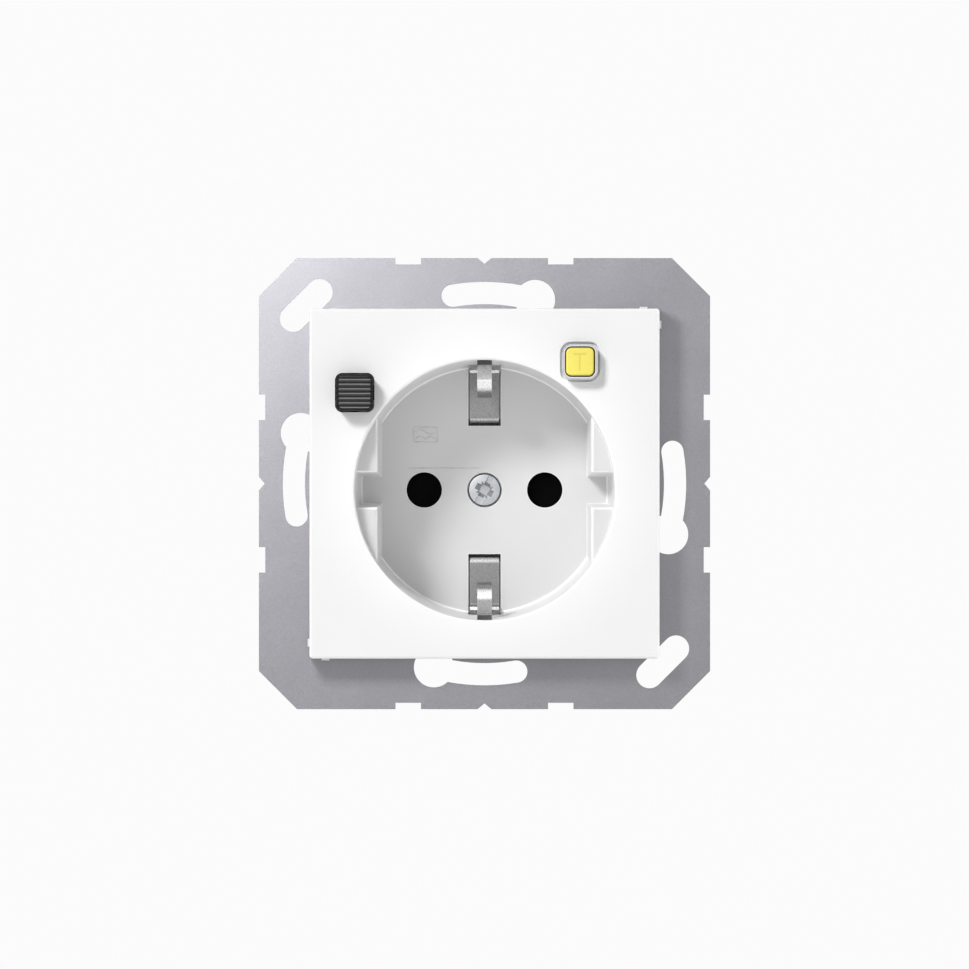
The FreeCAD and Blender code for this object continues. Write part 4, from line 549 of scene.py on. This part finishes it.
for pole, stops in {
    "line": ((1.5, 25.0, 6.5), (1.5, 25.0, 8.9), (CONTACT_ACROSS, 24.8, 13.4),
             (CONTACT_ACROSS, 24.8, 17.9), (CONTACT_ACROSS, 20.8, 17.9)),
    "neutral": ((-1.5, 25.0, 6.5), (-1.5, 25.0, 7.7), (CONTACT_ACROSS, 23.6, 9.8),
                (CONTACT_ACROSS, 23.6, 12.2), (CONTACT_ACROSS, 20.8, 12.2)),
}.items():
    stops = [Vector(stop) * MM for stop in stops]
    steps = [(number, number + 1) for number in range(len(stops) - 1)]
    lead = grow(f"{pole}_strands", tree, points_mesh("lead_route", stops, steps), strands=6,
                strand_radius=0.19 * MM, lay_radius=0.39 * MM, bend_radius=1.1 * MM, material=bare_copper)
    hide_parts(f"{pole}_lead")
    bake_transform(lead)


# Springs: round steel wire wound cold. The reset and latch springs are pressed between two faces and
# have closed end turns, and the shutter's turns round its hub with plain ends. The latch lever, which
# one of them presses, is sheet of the same steel.
spring_wire = plated("patented_spring_wire", (150, 151, 154), (128, 129, 132), (190, 191, 194),
                     0.30, 2600.0, 0.16, 0.35)
dress(spring_wire, "latch_lever")
tree, given = new_growth("wound_spring", {
    "Turns": 4.0, "Coil radius": 0.002, "Wire radius": 0.0002, "Height": 0.004, "Closed ends": True,
    "Lean": (0, 0, 0), "Place": (0, 0, 0)})
helix = fed(tree, "CurveSpiral", {
    "Resolution": 40, "Rotations": given["Turns"], "Start Radius": given["Coil radius"],
    "End Radius": given["Coil radius"], "Height": given["Height"]})["Curve"]
end_turn = fed(tree, "CurvePrimitiveCircle", {"Resolution": 40, "Radius": given["Coil radius"]})["Curve"]
to_top = fed(tree, "ShaderNodeCombineXYZ", {"Z": given["Height"]})["Vector"]
top_turn = fed(tree, "Transform", {"Geometry": end_turn, "Translation": to_top})["Geometry"]
end_turns = fed(tree, "Switch", {
    "Switch": given["Closed ends"], "True": joined(end_turn, top_turn)}, input_type="GEOMETRY")["Output"]
finish_growth(given, fed(tree, "Transform", {
    "Geometry": wired(joined(helix, end_turns), given["Wire radius"], 12),
    "Rotation": given["Lean"], "Translation": given["Place"]})["Geometry"])
TO_BACK = (math.radians(-90), 0, 0)
TO_RIGHT = (0, math.radians(90), 0)
SPRING_WIRE = 0.2 * MM
reset_coil = grow("reset_coil", tree, turns=3.5, coil_radius=2.85 * MM, wire_radius=SPRING_WIRE,
                  height=3.9 * MM, lean=TO_BACK, place=(-20.4 * MM, -4.6 * MM, 14.3 * MM),
                  material=spring_wire)
latch_coil = grow("latch_coil", tree, turns=4.0, coil_radius=0.9 * MM, wire_radius=SPRING_WIRE,
                  height=4.0 * MM, lean=TO_RIGHT, place=(-0.7 * MM, 19.4 * MM, 16.5 * MM),
                  material=spring_wire)
shutter_coil = grow("shutter_coil", tree, turns=1.75, coil_radius=4.3 * MM, wire_radius=SPRING_WIRE,
                    height=1.2 * MM, closed_ends=False, lean=TO_BACK, place=(0, 10.7 * MM, RECESS_HEIGHT),
                    material=spring_wire)
for piece, node in ((reset_coil, "reset_spring"), (latch_coil, "latch_spring"),
                    (shutter_coil, "shutter_spring")):
    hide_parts(node)
    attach(piece, "housing")
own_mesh(reset_coil)
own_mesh(latch_coil)


# Test leaf: a strip of silvered spring bronze, soldered to the board by its leg. The test button bends
# its arm down on to the contact post.
def levelled(curve):
    return fed(curve.id_data, "SetCurveNormal", {"Curve": curve}, mode="MINIMUM_TWIST")["Curve"]


tree, given = new_growth("bent_sheet", {
    "Width": 0.002, "Sheet": 0.0004, "Bend radius": 0.0006, "Steps": 40})
strip_path = fed(tree, "ResampleCurve", {"Curve": bent_path(given, 8), "Count": given["Steps"]})["Curve"]
strip_section = fed(tree, "CurvePrimitiveQuadrilateral",
                    {"Width": given["Width"], "Height": given["Sheet"]})["Curve"]
finish_growth(given, fed(tree, "CurveToMesh", {
    "Curve": levelled(strip_path), "Profile Curve": strip_section, "Fill Caps": True})["Mesh"])
leaf_stops = [Vector(stop) * MM for stop in ((15.0, 27.0, 16.65), (15.0, 22.2, 16.65), (15.0, 22.2, 20.25))]
leaf_strip = grow("leaf_strip", tree, points_mesh("leaf_path", leaf_stops, [(0, 1), (1, 2)]),
                  width=2.2 * MM, sheet=0.4 * MM, bend_radius=0.4 * MM, steps=70, material=contact_silver)
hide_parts("test_leaf")
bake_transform(leaf_strip)


# Trip relay: a small sealed box whose plunger frees the latch, with the pins of both levers.
relay_nylon = moulded("relay_nylon", (74, 92, 84), (66, 84, 77), (110, 126, 118), 0.44, 4200.0, 0.3,
                      IOR=1.52)
dress(relay_nylon, "trip_relay")
bright_zinc = plated("bright_zinc", (182, 184, 188), (170, 172, 176), (222, 223, 226),
                     0.28, 6000.0, 0.08, 0.15)
dress(bright_zinc, "relay_plunger", "latch_pin", "lever_pin")


# Circuit board with its test resistor and surge arrester: glass laminate, a ceramic body on bent
# wires, and a lacquered disc.
board_laminate = moulded("board_laminate", (46, 96, 62), (40, 86, 55), (150, 160, 110),
                         0.38, 6000.0, 0.25, IOR=1.55)
dress(board_laminate, "circuit_board")
resistor_ceramic = moulded("resistor_ceramic", (196, 184, 158), (186, 173, 146), (214, 204, 182),
                           0.40, 4200.0, 0.3, IOR=1.55)
dress(resistor_ceramic, "test_resistor")
arrester_lacquer = moulded("arrester_lacquer", (44, 74, 150), (38, 66, 138), (84, 114, 184),
                           0.30, 1800.0, 0.3, IOR=1.55)
dress(arrester_lacquer, "surge_arrester")


# Terminals: nickel-plated steel cages with one clamp screw each, open to the back. A clamp screw has a
# thick head with a slot and a cross, and a short shank.
def lathe(name, outline, sides=48):
    """A closed mesh turned about +Z from (radius, height) points, in mm, that start and end on it."""
    form = bmesh.new()
    rings = []
    for radius, height in outline:
        spread = [math.tau * step / sides for step in range(sides if radius else 1)]
        rings.append([form.verts.new((radius * MM * math.cos(t), radius * MM * math.sin(t), height * MM))
                      for t in spread])
    for low, high in zip(rings, rings[1:]):
        for step in range(sides):
            after = (step + 1) % sides
            around = [low[step % len(low)], low[after % len(low)], high[after % len(high)],
                      high[step % len(high)]]
            form.faces.new(list(dict.fromkeys(around)))
    made = bpy.data.meshes.new(name)
    form.to_mesh(made)
    form.free()
    return made


def drive_tool(face, depth, length, width, foot_length, foot_width, turn):
    """One arm of a head's drive: a tapered block that sinks from above its face. In mm and degrees."""
    rise = 0.2
    grows = [(rise + depth) / depth * (top - foot) + foot
             for top, foot in ((length, foot_length), (width, foot_width))]
    corners = []
    for height, long_side, short_side in ((face - depth, foot_length, foot_width), (face + rise, *grows)):
        for i, j in ((-1, -1), (1, -1), (1, 1), (-1, 1)):
            flat = Vector((i * long_side / 2, j * short_side / 2)) * MM
            flat.rotate(Matrix.Rotation(math.radians(turn), 2))
            corners.append((flat.x, flat.y, height * MM))
    made = bpy.data.meshes.new("drive_tool")
    made.from_pydata(corners, [], [(3, 2, 1, 0), (4, 5, 6, 7), (0, 1, 5, 4), (1, 2, 6, 5), (2, 3, 7, 6),
                                   (3, 0, 4, 7)])
    return made


def carved(name, blank, tools):
    """An object whose mesh is the blank less every tool, sharp at its edges and smooth where round."""
    piece = new_object(name, blank)
    holders = [new_object("tool", tool) for tool in tools]
    for holder in holders:
        bite = piece.modifiers.new("bite", "BOOLEAN")
        bite.operation = "DIFFERENCE"
        bite.solver = "EXACT"
        bite.object = holder
    made = bpy.data.meshes.new_from_object(piece.evaluated_get(bpy.context.evaluated_depsgraph_get()))
    piece.modifiers.clear()
    piece.data = made
    for holder in holders:
        bpy.data.objects.remove(holder)
    made.shade_smooth()
    made.set_sharp_from_angle(angle=math.radians(32))
    return piece


def head_outline(radius, height, edge, crown):
    """Half of a head's section: flat below, with a rounded edge and a slightly domed face. In mm."""
    arc = [(radius - edge + edge * math.cos(t), height - edge + edge * math.sin(t))
           for t in (math.radians(angle) for angle in (0, 22, 45, 68, 90))]
    return [(0, 0), (radius - 0.1, 0), (radius, 0.1), *arc, (radius * 0.5, height + crown * 0.75),
            (0, height + crown)]


screw_tree, given = new_growth("threaded_screw", {
    "Head": "Object", "Shank radius": 0.001, "Length": 0.008, "Plain length": 0.0, "Pitch": 0.0005,
    "Thread depth": 0.0002, "Tip": 0.0005, "Rows": 100})
sheet = fed(screw_tree, "MeshGrid", {
    "Size X": 1.0, "Size Y": 1.0, "Vertices X": 21, "Vertices Y": given["Rows"]})["Mesh"]
flat_place = fed(screw_tree, "ShaderNodeSeparateXYZ",
                 {"Vector": fed(screw_tree, "InputPosition")["Position"]})
around = worked("ADD", flat_place["X"], 0.5)
down = worked("ADD", flat_place["Y"], 0.5)
depth = product(down, given["Length"])
climb = worked("SUBTRACT", worked("DIVIDE", depth, given["Pitch"]), around)
groove = product(worked("PINGPONG", climb, 0.5), 2.0, given["Thread depth"])
cut_from = ranged(depth, given["Plain length"], worked("ADD", given["Plain length"], given["Pitch"]))
thread_radius = worked("SUBTRACT", given["Shank radius"], product(groove, cut_from))
tip_share = ranged(depth, worked("SUBTRACT", given["Length"], given["Tip"]), given["Length"], 1.0, 0.62)
closed_ends = product(worked("GREATER_THAN", down, 0.0001), worked("LESS_THAN", down, 0.9999))
ring_radius = product(closed_ends, product(thread_radius, tip_share))
turn_here = product(around, math.tau)
wrapped_place = fed(screw_tree, "ShaderNodeCombineXYZ", {
    "X": product(ring_radius, worked("COSINE", turn_here)),
    "Y": product(ring_radius, worked("SINE", turn_here)), "Z": product(depth, -1.0)})["Vector"]
wrapped = fed(screw_tree, "SetPosition", {"Geometry": sheet, "Position": wrapped_place})["Geometry"]
# the shank grows down from the head, which turns the grid's faces inwards
outwards = fed(screw_tree, "FlipFaces", {"Mesh": wrapped})["Mesh"]
shank = fed(screw_tree, "MergeByDistance", {"Geometry": outwards, "Distance": 0.000001})["Geometry"]
head_form = fed(screw_tree, "ObjectInfo", {"Object": given["Head"]})["Geometry"]
aim = fed(screw_tree, "InputNamedAttribute", {"Name": "aim"}, data_type="FLOAT_VECTOR")["Attribute"]
finish_growth(given, fed(screw_tree, "InstanceOnPoints", {
    "Points": given["Geometry"], "Instance": joined(shank, head_form),
    "Rotation": fed(screw_tree, "FunctionNodeAlignRotationToVector", {"Vector": aim},
                    axis="Z")["Rotation"]})["Instances"])


def add_screws(name, node, head, stands, material=bright_zinc, **sizes):
    """Screws in place of a node. Each stand is a point in mm and the way that its head faces."""
    start = points_mesh("screw_points", [Vector(point) * MM for point, _ in stands])
    aims = start.attributes.new("aim", "FLOAT_VECTOR", "POINT")
    for item, (_, direction) in zip(aims.data, stands):
        item.vector = direction
    piece = grow(name, screw_tree, start, head=head, material=material, **sizes)
    bpy.data.objects.remove(head)
    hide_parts(node)
    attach(piece, "housing")


CLAMP_NECK = 21.7
CLAMP_DEPTH = 31.85
CLAMP_ACROSS = 8.5
CLAMP_HEAD = 1.4
cage_steel = plated("cage_steel", (186, 186, 184), (172, 172, 170), (214, 214, 212),
                    0.32, 2600.0, 0.14, 0.25)
dress(cage_steel, "line_in_terminal", "neutral_in_terminal", "line_out_terminal", "neutral_out_terminal",
      "earth_terminal")
clamp_head = carved("clamp_head", lathe("clamp_blank", head_outline(2.7, 1.32, 0.3, 0.08)), [
    drive_tool(CLAMP_HEAD, 0.7, 6.4, 1.1, 6.4, 1.0, 0),
    drive_tool(CLAMP_HEAD, 1.2, 3.2, 0.9, 1.2, 0.7, 0),
    drive_tool(CLAMP_HEAD, 1.2, 3.2, 0.9, 1.2, 0.7, 90)])
clamp_stands = [((x * CLAMP_ACROSS, CLAMP_DEPTH, z * CLAMP_NECK), (0, 0, z))
                for z in (1, -1) for x in (-1, 1)]
clamp_stands.append(((-CLAMP_NECK, CLAMP_DEPTH, 0), (-1, 0, 0)))
add_screws("clamp_screws", "terminal_screws", clamp_head, clamp_stands, shank_radius=1.75 * MM,
           length=1.9 * MM, pitch=0.6 * MM, thread_depth=0.3 * MM, tip=0.2 * MM, rows=30)


# Rear pan: the grey moulding that closes the mechanism in, held by screws through the flanks.
SCREW_PLACES = ((-18.4, -18.4), (18.4, -18.4), (20.6, 14.4), (-15.5, 20.6))
PAN_SCREW_NECK = 35.4
CROSS_HEAD = 1.3


def cross_head(name):
    arms = [drive_tool(CROSS_HEAD, 1.0, 3.0, 0.75, 1.0, 0.5, turn) for turn in (45, 135)]
    return carved(name, lathe(name, head_outline(2.3, 1.2, 0.35, 0.1)), arms)


dress(base_plastic, "base_cover")
pan_stands = [((x, PAN_SCREW_NECK, z), (0, 1, 0)) for x, z in SCREW_PLACES[:3]]
add_screws("pan_screws", "cover_screws", cross_head("pan_head"), pan_stands, shank_radius=1.25 * MM,
           length=25.8 * MM, plain_length=18.0 * MM, pitch=0.9 * MM, thread_depth=0.28 * MM, tip=1.2 * MM,
           rows=200)


# Support frame: stamped steel sheet, zinc-plated and passivated, with a faint lilac cast and darker
# along its edges. Four screws from the front hold it to the base.
FRAME_FRONT = -1.5
frame_zinc = plated("passivated_zinc", (148, 147, 152), (143, 142, 147), (116, 115, 119),
                    0.36, 9000.0, 0.14, 0.12)
dress(frame_zinc, "support_frame")
seat_stands = [((x, FRAME_FRONT, z), (0, -1, 0)) for x, z in SCREW_PLACES]
add_screws("seat_screws", "frame_screws", cross_head("seat_head"), seat_stands, shank_radius=1.25 * MM,
           length=8.0 * MM, pitch=0.9 * MM, thread_depth=0.28 * MM, tip=1.2 * MM, rows=80)


# Centre plate: white thermoplastic, moulded in one with the plug recess and its side ledges, and held
# by one screw. Painted shade: the front faces of the recess floor and ledges are painted greyer, the
# collar round the test button grey, and the gap inside the collar and the walls of the clip windows
# near black. Painted highlight: each rounded corner is painted near white.
def own_facing(material):
    """The parts of the way that a point's surface faces."""
    tree = material.node_tree
    return fed(tree, "SeparateXYZ", {"Vector": fed(tree, "NewGeometry")["Normal"]})


def hypotenuse(across, up):
    return worked("SQRT", worked("ADD", worked("POWER", across, 2.0), worked("POWER", up, 2.0)))


def from_cap(parts, centre, core):
    """How far a point lies outside the square core of a cap, round its corners."""
    aways = [worked("ABSOLUTE", worked("SUBTRACT", parts[axis], middle))
             for axis, middle in zip("XZ", centre)]
    return hypotenuse(*(worked("MAXIMUM", worked("SUBTRACT", away, core), 0.0) for away in aways))


RECESS_SIDE = 20.3 * MM
RECESS_FRONT = -9.8 * MM
FLOOR_START = 6.7 * MM
WINDOW_HALF = 2.60 * MM
WINDOW_END = 18.80 * MM
LUG_START = 27.52 * MM
TEST_PLACE = (15.0 * MM, 19.15 * MM)
CAP_CORE = 1.35 * MM
GAP_END = 1.08 * MM
GAP_FRONT = -11.95 * MM
COLLAR_START = 1.16 * MM
COLLAR_END = 1.42 * MM
COLLAR_FADE = 0.06 * MM
# Painted highlight: the even corner colour, 0.2 mm wide, paints each rounded corner near white.
plate_white = moulded("plate_white", (241, 241, 241), (239, 239, 240), (254, 254, 254),
                      0.44, 7000.0, 0.05, IOR=1.5, Specular_IOR_Level=0.3)
plate_skin = skin_of(plate_white).inputs
plate_skin["Corner width"].default_value = 0.2 * MM
plate_skin["Corner evenness"].default_value = 1.0
spot = own_place(plate_white)
facing = worked("ABSOLUTE", own_facing(plate_white)["Y"])
from_axis = hypotenuse(spot["X"], worked("SUBTRACT", spot["Z"], RECESS_HEIGHT))
# Painted shade: the front faces of the recess floor and ledges are painted greyer, the floor most.
recess_painted_shade = product(within(from_axis, RECESS_SIDE, 0.3 * MM), beyond(spot["Y"], RECESS_FRONT, 0.4 * MM),
                 beyond(facing, 0.85, 0.10))
across = worked("ABSOLUTE", spot["X"])
# Painted shade: the clip windows' walls and the gap inside the test collar near black, and the collar's face
# grey.
window_painted_shade = product(within(across, WINDOW_HALF, 0.06 * MM), within(from_axis, WINDOW_END, 0.10 * MM),
                      within(facing, 0.30, 0.10))
collar_out = from_cap(spot, TEST_PLACE, CAP_CORE)
collar_painted_shade = product(beyond(collar_out, COLLAR_START, COLLAR_FADE),
                      within(collar_out, COLLAR_END, COLLAR_FADE))
gap_painted_shade = product(within(collar_out, GAP_END, 0.05 * MM), beyond(spot["Y"], GAP_FRONT, 0.10 * MM))
corner_lug = beyond(worked("MAXIMUM", across, worked("ABSOLUTE", spot["Z"])), LUG_START, 0.04 * MM)
# Painted highlight: the middle of each fillet, by how it faces, is painted near white.
round_painted_highlight = product(beyond(facing, 0.40, 0.15), within(facing, 0.80, 0.12))
floor_painted_shade = beyond(spot["Y"], FLOOR_START, 0.5 * MM)
plate_colour = blended(recess_painted_shade, tint(241), blended(floor_painted_shade, tint(213), tint(206)))
for mask, coat in ((round_painted_highlight, tint(254)), (collar_painted_shade, tint(178, 179, 182)),
                   (worked("MAXIMUM", gap_painted_shade, window_painted_shade), tint(40, 40, 39)),
                   (corner_lug, tint(216, 216, 219))):
    plate_colour = blended(mask, plate_colour, coat)
feed(plate_skin["Colour"], plate_colour)
feed(plate_skin["Drift colour"], blended(1.0, plate_colour, tint(253), "MULTIPLY"))
dress(plate_white, "centre_plate")


# The mark moulded in the recess floor: the framed wave that says which residual currents the breaker
# sees, with a fine line under its field. Each line stands a few hundredths of a millimetre proud.
marks_tree, given = new_growth("raised_line", {"Line width": 0.0002, "Rise": 0.00005, "Bend radius": 0.0002})
half_line = product(given["Line width"], 0.5)
flat_share = fed(marks_tree, "ShaderNodeCombineXYZ", {
    "X": 1.0, "Y": worked("DIVIDE", given["Rise"], half_line), "Z": 1.0})["Vector"]
finish_growth(given, fed(marks_tree, "Transform", {
    "Geometry": wired(levelled(bent_path(given, 3)), half_line, 8), "Scale": flat_share})["Geometry"])


def add_marks(name, drawings, level, material, line_width, rise):
    """Raised lines at one depth: each drawing is a row of (x, z) stops in millimetres."""
    stops, steps = [], []
    for drawing in drawings:
        steps += [(len(stops) + number, len(stops) + number + 1) for number in range(len(drawing) - 1)]
        stops += [Vector((x, 0, z)) * MM for x, z in drawing]
    marks = grow(name, marks_tree, points_mesh(name, stops, steps), line_width=line_width, rise=rise,
                 bend_radius=0.12 * MM, material=material)
    for corner in marks.data.vertices:
        corner.co.y += level
    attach(marks, "housing")


FLOOR_LEVEL = 7.5 * MM
mark_white = moulded("mark_white", (180, 180, 180), (176, 176, 176), (212, 212, 212), 0.46, 7000.0, 0.05,
                     IOR=1.5)
frame_line = [(-11.2, 6.6), (-7.4, 6.6), (-7.4, 8.9), (-11.2, 8.9), (-11.2, 6.6)]
upper_wave = [(-10.9 + 0.2 * step, 8.15 + 0.38 * math.sin(math.tau * step / 16)) for step in range(17)]
lower_wave = [(-10.9 + 0.2 * step, 7.0 + 0.42 * abs(math.sin(math.tau * step / 16))) for step in range(17)]
add_marks("recess_mark", [frame_line, upper_wave, lower_wave, [(-12.0, 2.45), (-0.8, 2.45)]],
          FLOOR_LEVEL, mark_white, 0.20 * MM, 0.06 * MM)


# The plan of the terminals stands proud in the sunk field of the rear pan. It is drawn as it is seen
# from behind: line and neutral by their letters, earth by its sign.
FIELD_LEVEL = 36.7 * MM
LINE_LETTER = [[(-0.8, 1.3), (-0.8, -1.3), (0.8, -1.3)]]
NEUTRAL_LETTER = [[(-0.9, -1.3), (-0.9, 1.3), (0.9, -1.3), (0.9, 1.3)]]
EARTH_SIGN = [[(0, 1.3), (0, 0.2)], [(-1.2, 0.2), (1.2, 0.2)], [(-0.8, -0.5), (0.8, -0.5)],
              [(-0.4, -1.2), (0.4, -1.2)]]
terminal_plan = []
for sign, x, z in ((LINE_LETTER, -4.0, 3.9), (NEUTRAL_LETTER, 4.0, 3.9), (LINE_LETTER, 4.0, -3.9),
                   (NEUTRAL_LETTER, -4.0, -3.9), (EARTH_SIGN, -4.0, 0.0)):
    terminal_plan += [[(x - right, z + up) for right, up in drawing] for drawing in sign]
add_marks("terminal_plan", terminal_plan, FIELD_LEVEL, base_plastic, 0.34 * MM, 0.14 * MM)


# The plate's own screw: a bright flat head with a shallow slot, and a cross recess with the four fine
# nicks between its arms that a second kind of driver needs. It turns in the base's brass insert.
CENTRE_NECK = 8.9
CENTRE_HEAD = 1.6
SLOT_TURN = 61
RIM_START = 2.39 * MM
centre_blank = lathe("centre_blank", head_outline(2.56, 1.57, 0.16, 0.03), 64)
centre_tools = [drive_tool(CENTRE_HEAD, 0.42, 6.4, 1.14, 6.4, 1.06, SLOT_TURN)]
for turn in (SLOT_TURN, SLOT_TURN + 90):
    centre_tools += [drive_tool(CENTRE_HEAD, 1.25, 3.0, 1.08, 1.36, 0.98, turn),
                     drive_tool(CENTRE_HEAD, 0.6, 2.8, 0.26, 2.0, 0.10, turn + 45)]
centre_tools.append(drive_tool(CENTRE_HEAD, 1.25, 1.75, 1.75, 1.34, 1.34, SLOT_TURN))
head_zinc = plated("polished_head_zinc", (184, 186, 189), (174, 176, 180), (240, 241, 242),
                   0.38, 5200.0, 0.16, 0.15, 0.45)
head_place = own_place(head_zinc)
from_screw = hypotenuse(head_place["X"], worked("SUBTRACT", head_place["Z"], RECESS_HEIGHT))
# Painted shade: the rim of the head is painted near black, for the shaded gap round it.
repaint(head_zinc, skin_of(head_zinc).outputs["Colour"],
        [(beyond(from_screw, RIM_START, 0.08 * MM), tint(16, 16, 17))])
add_screws("plate_screw", "centre_screw", carved("centre_head", centre_blank, centre_tools),
           [((0, CENTRE_NECK, RECESS_HEIGHT / MM), (0, -1, 0))], material=head_zinc,
           shank_radius=1.5 * MM, length=9.0 * MM, plain_length=4.0 * MM, pitch=0.5 * MM,
           thread_depth=0.26 * MM, tip=0.5 * MM, rows=120)


# Reset button: a black moulded cap with ribs across it for the finger. The upper flank of each rib is
# painted light as a painted highlight, and the rounded edge of the cap is painted near black as
# painted shade.
RESET_PLACE = (-20.4 * MM, 14.3 * MM)
RESET_CORE = 1.95 * MM
RESET_EDGE = 0.50 * MM
reset_black = moulded("reset_black", (42, 42, 43), (38, 38, 39), (52, 52, 53), 0.42, 5200.0, 0.1,
                      IOR=1.5, Specular_IOR_Level=0.25)
# Painted shade on the cap's rounded edge and a painted highlight on each upward flank.
cap_edge_painted_shade = beyond(from_cap(own_place(reset_black), RESET_PLACE, RESET_CORE), RESET_EDGE, 0.06 * MM)
flank_painted_highlight = product(beyond(own_facing(reset_black)["Z"], 0.2, 0.2), worked("SUBTRACT", 1.0, cap_edge_painted_shade))
repaint(reset_black, skin_of(reset_black).outputs["Colour"],
        ((flank_painted_highlight, tint(150, 150, 151)), (cap_edge_painted_shade, tint(12))))
dress(reset_black, "reset_button")


# Test button: a yellow moulded cap that stands in the plate's collar, with a plain T sunk in its face
# by a shallow line. Painted shade: the T's strokes a little darker and the cap's sides dark. Painted
# highlight: its corners pale.
TEST_EDGE = 0.86 * MM
STROKE_FADE = 0.06 * MM
# Painted highlight: the pale corner colour, laid evenly along the cap's corners.
test_yellow = moulded("test_yellow", (240, 226, 103), (238, 223, 97), (250, 243, 156), 0.40, 6000.0, 0.08,
                      IOR=1.5)
skin_of(test_yellow).inputs["Corner evenness"].default_value = 1.0
test_place = own_place(test_yellow)
strokes = []
for x, z, half_wide, half_high in ((0.0, 1.2, 1.0, 0.14), (0.0, -0.1, 0.14, 1.3)):
    strokes.append(product(*(
        within(worked("ABSOLUTE", worked("SUBTRACT", test_place[axis], centre + middle * MM)),
               reach * MM - STROKE_FADE / 2, STROKE_FADE)
        for axis, centre, middle, reach in (("X", TEST_PLACE[0], x, half_wide),
                                            ("Z", TEST_PLACE[1], z, half_high)))))
letter = worked("MAXIMUM", *strokes)
# Painted shade: the strokes of the T a little darker and the cap's sides dark.
cap_side_painted_shade = beyond(from_cap(test_place, TEST_PLACE, CAP_CORE), TEST_EDGE, 0.04 * MM)
repaint(test_yellow, skin_of(test_yellow).outputs["Colour"],
        ((letter, tint(226, 210, 92)), (cap_side_painted_shade, tint(110, 98, 36))))
sunk = fed(test_yellow.node_tree, "Bump", {
    "Strength": 0.8, "Distance": 0.04 * MM, "Height": letter,
    "Normal": skin_of(test_yellow).outputs["Normal"]}, invert=True)
feed(test_yellow.node_tree.nodes["Principled BSDF"].inputs["Normal"], sunk["Normal"])
dress(test_yellow, "test_button")
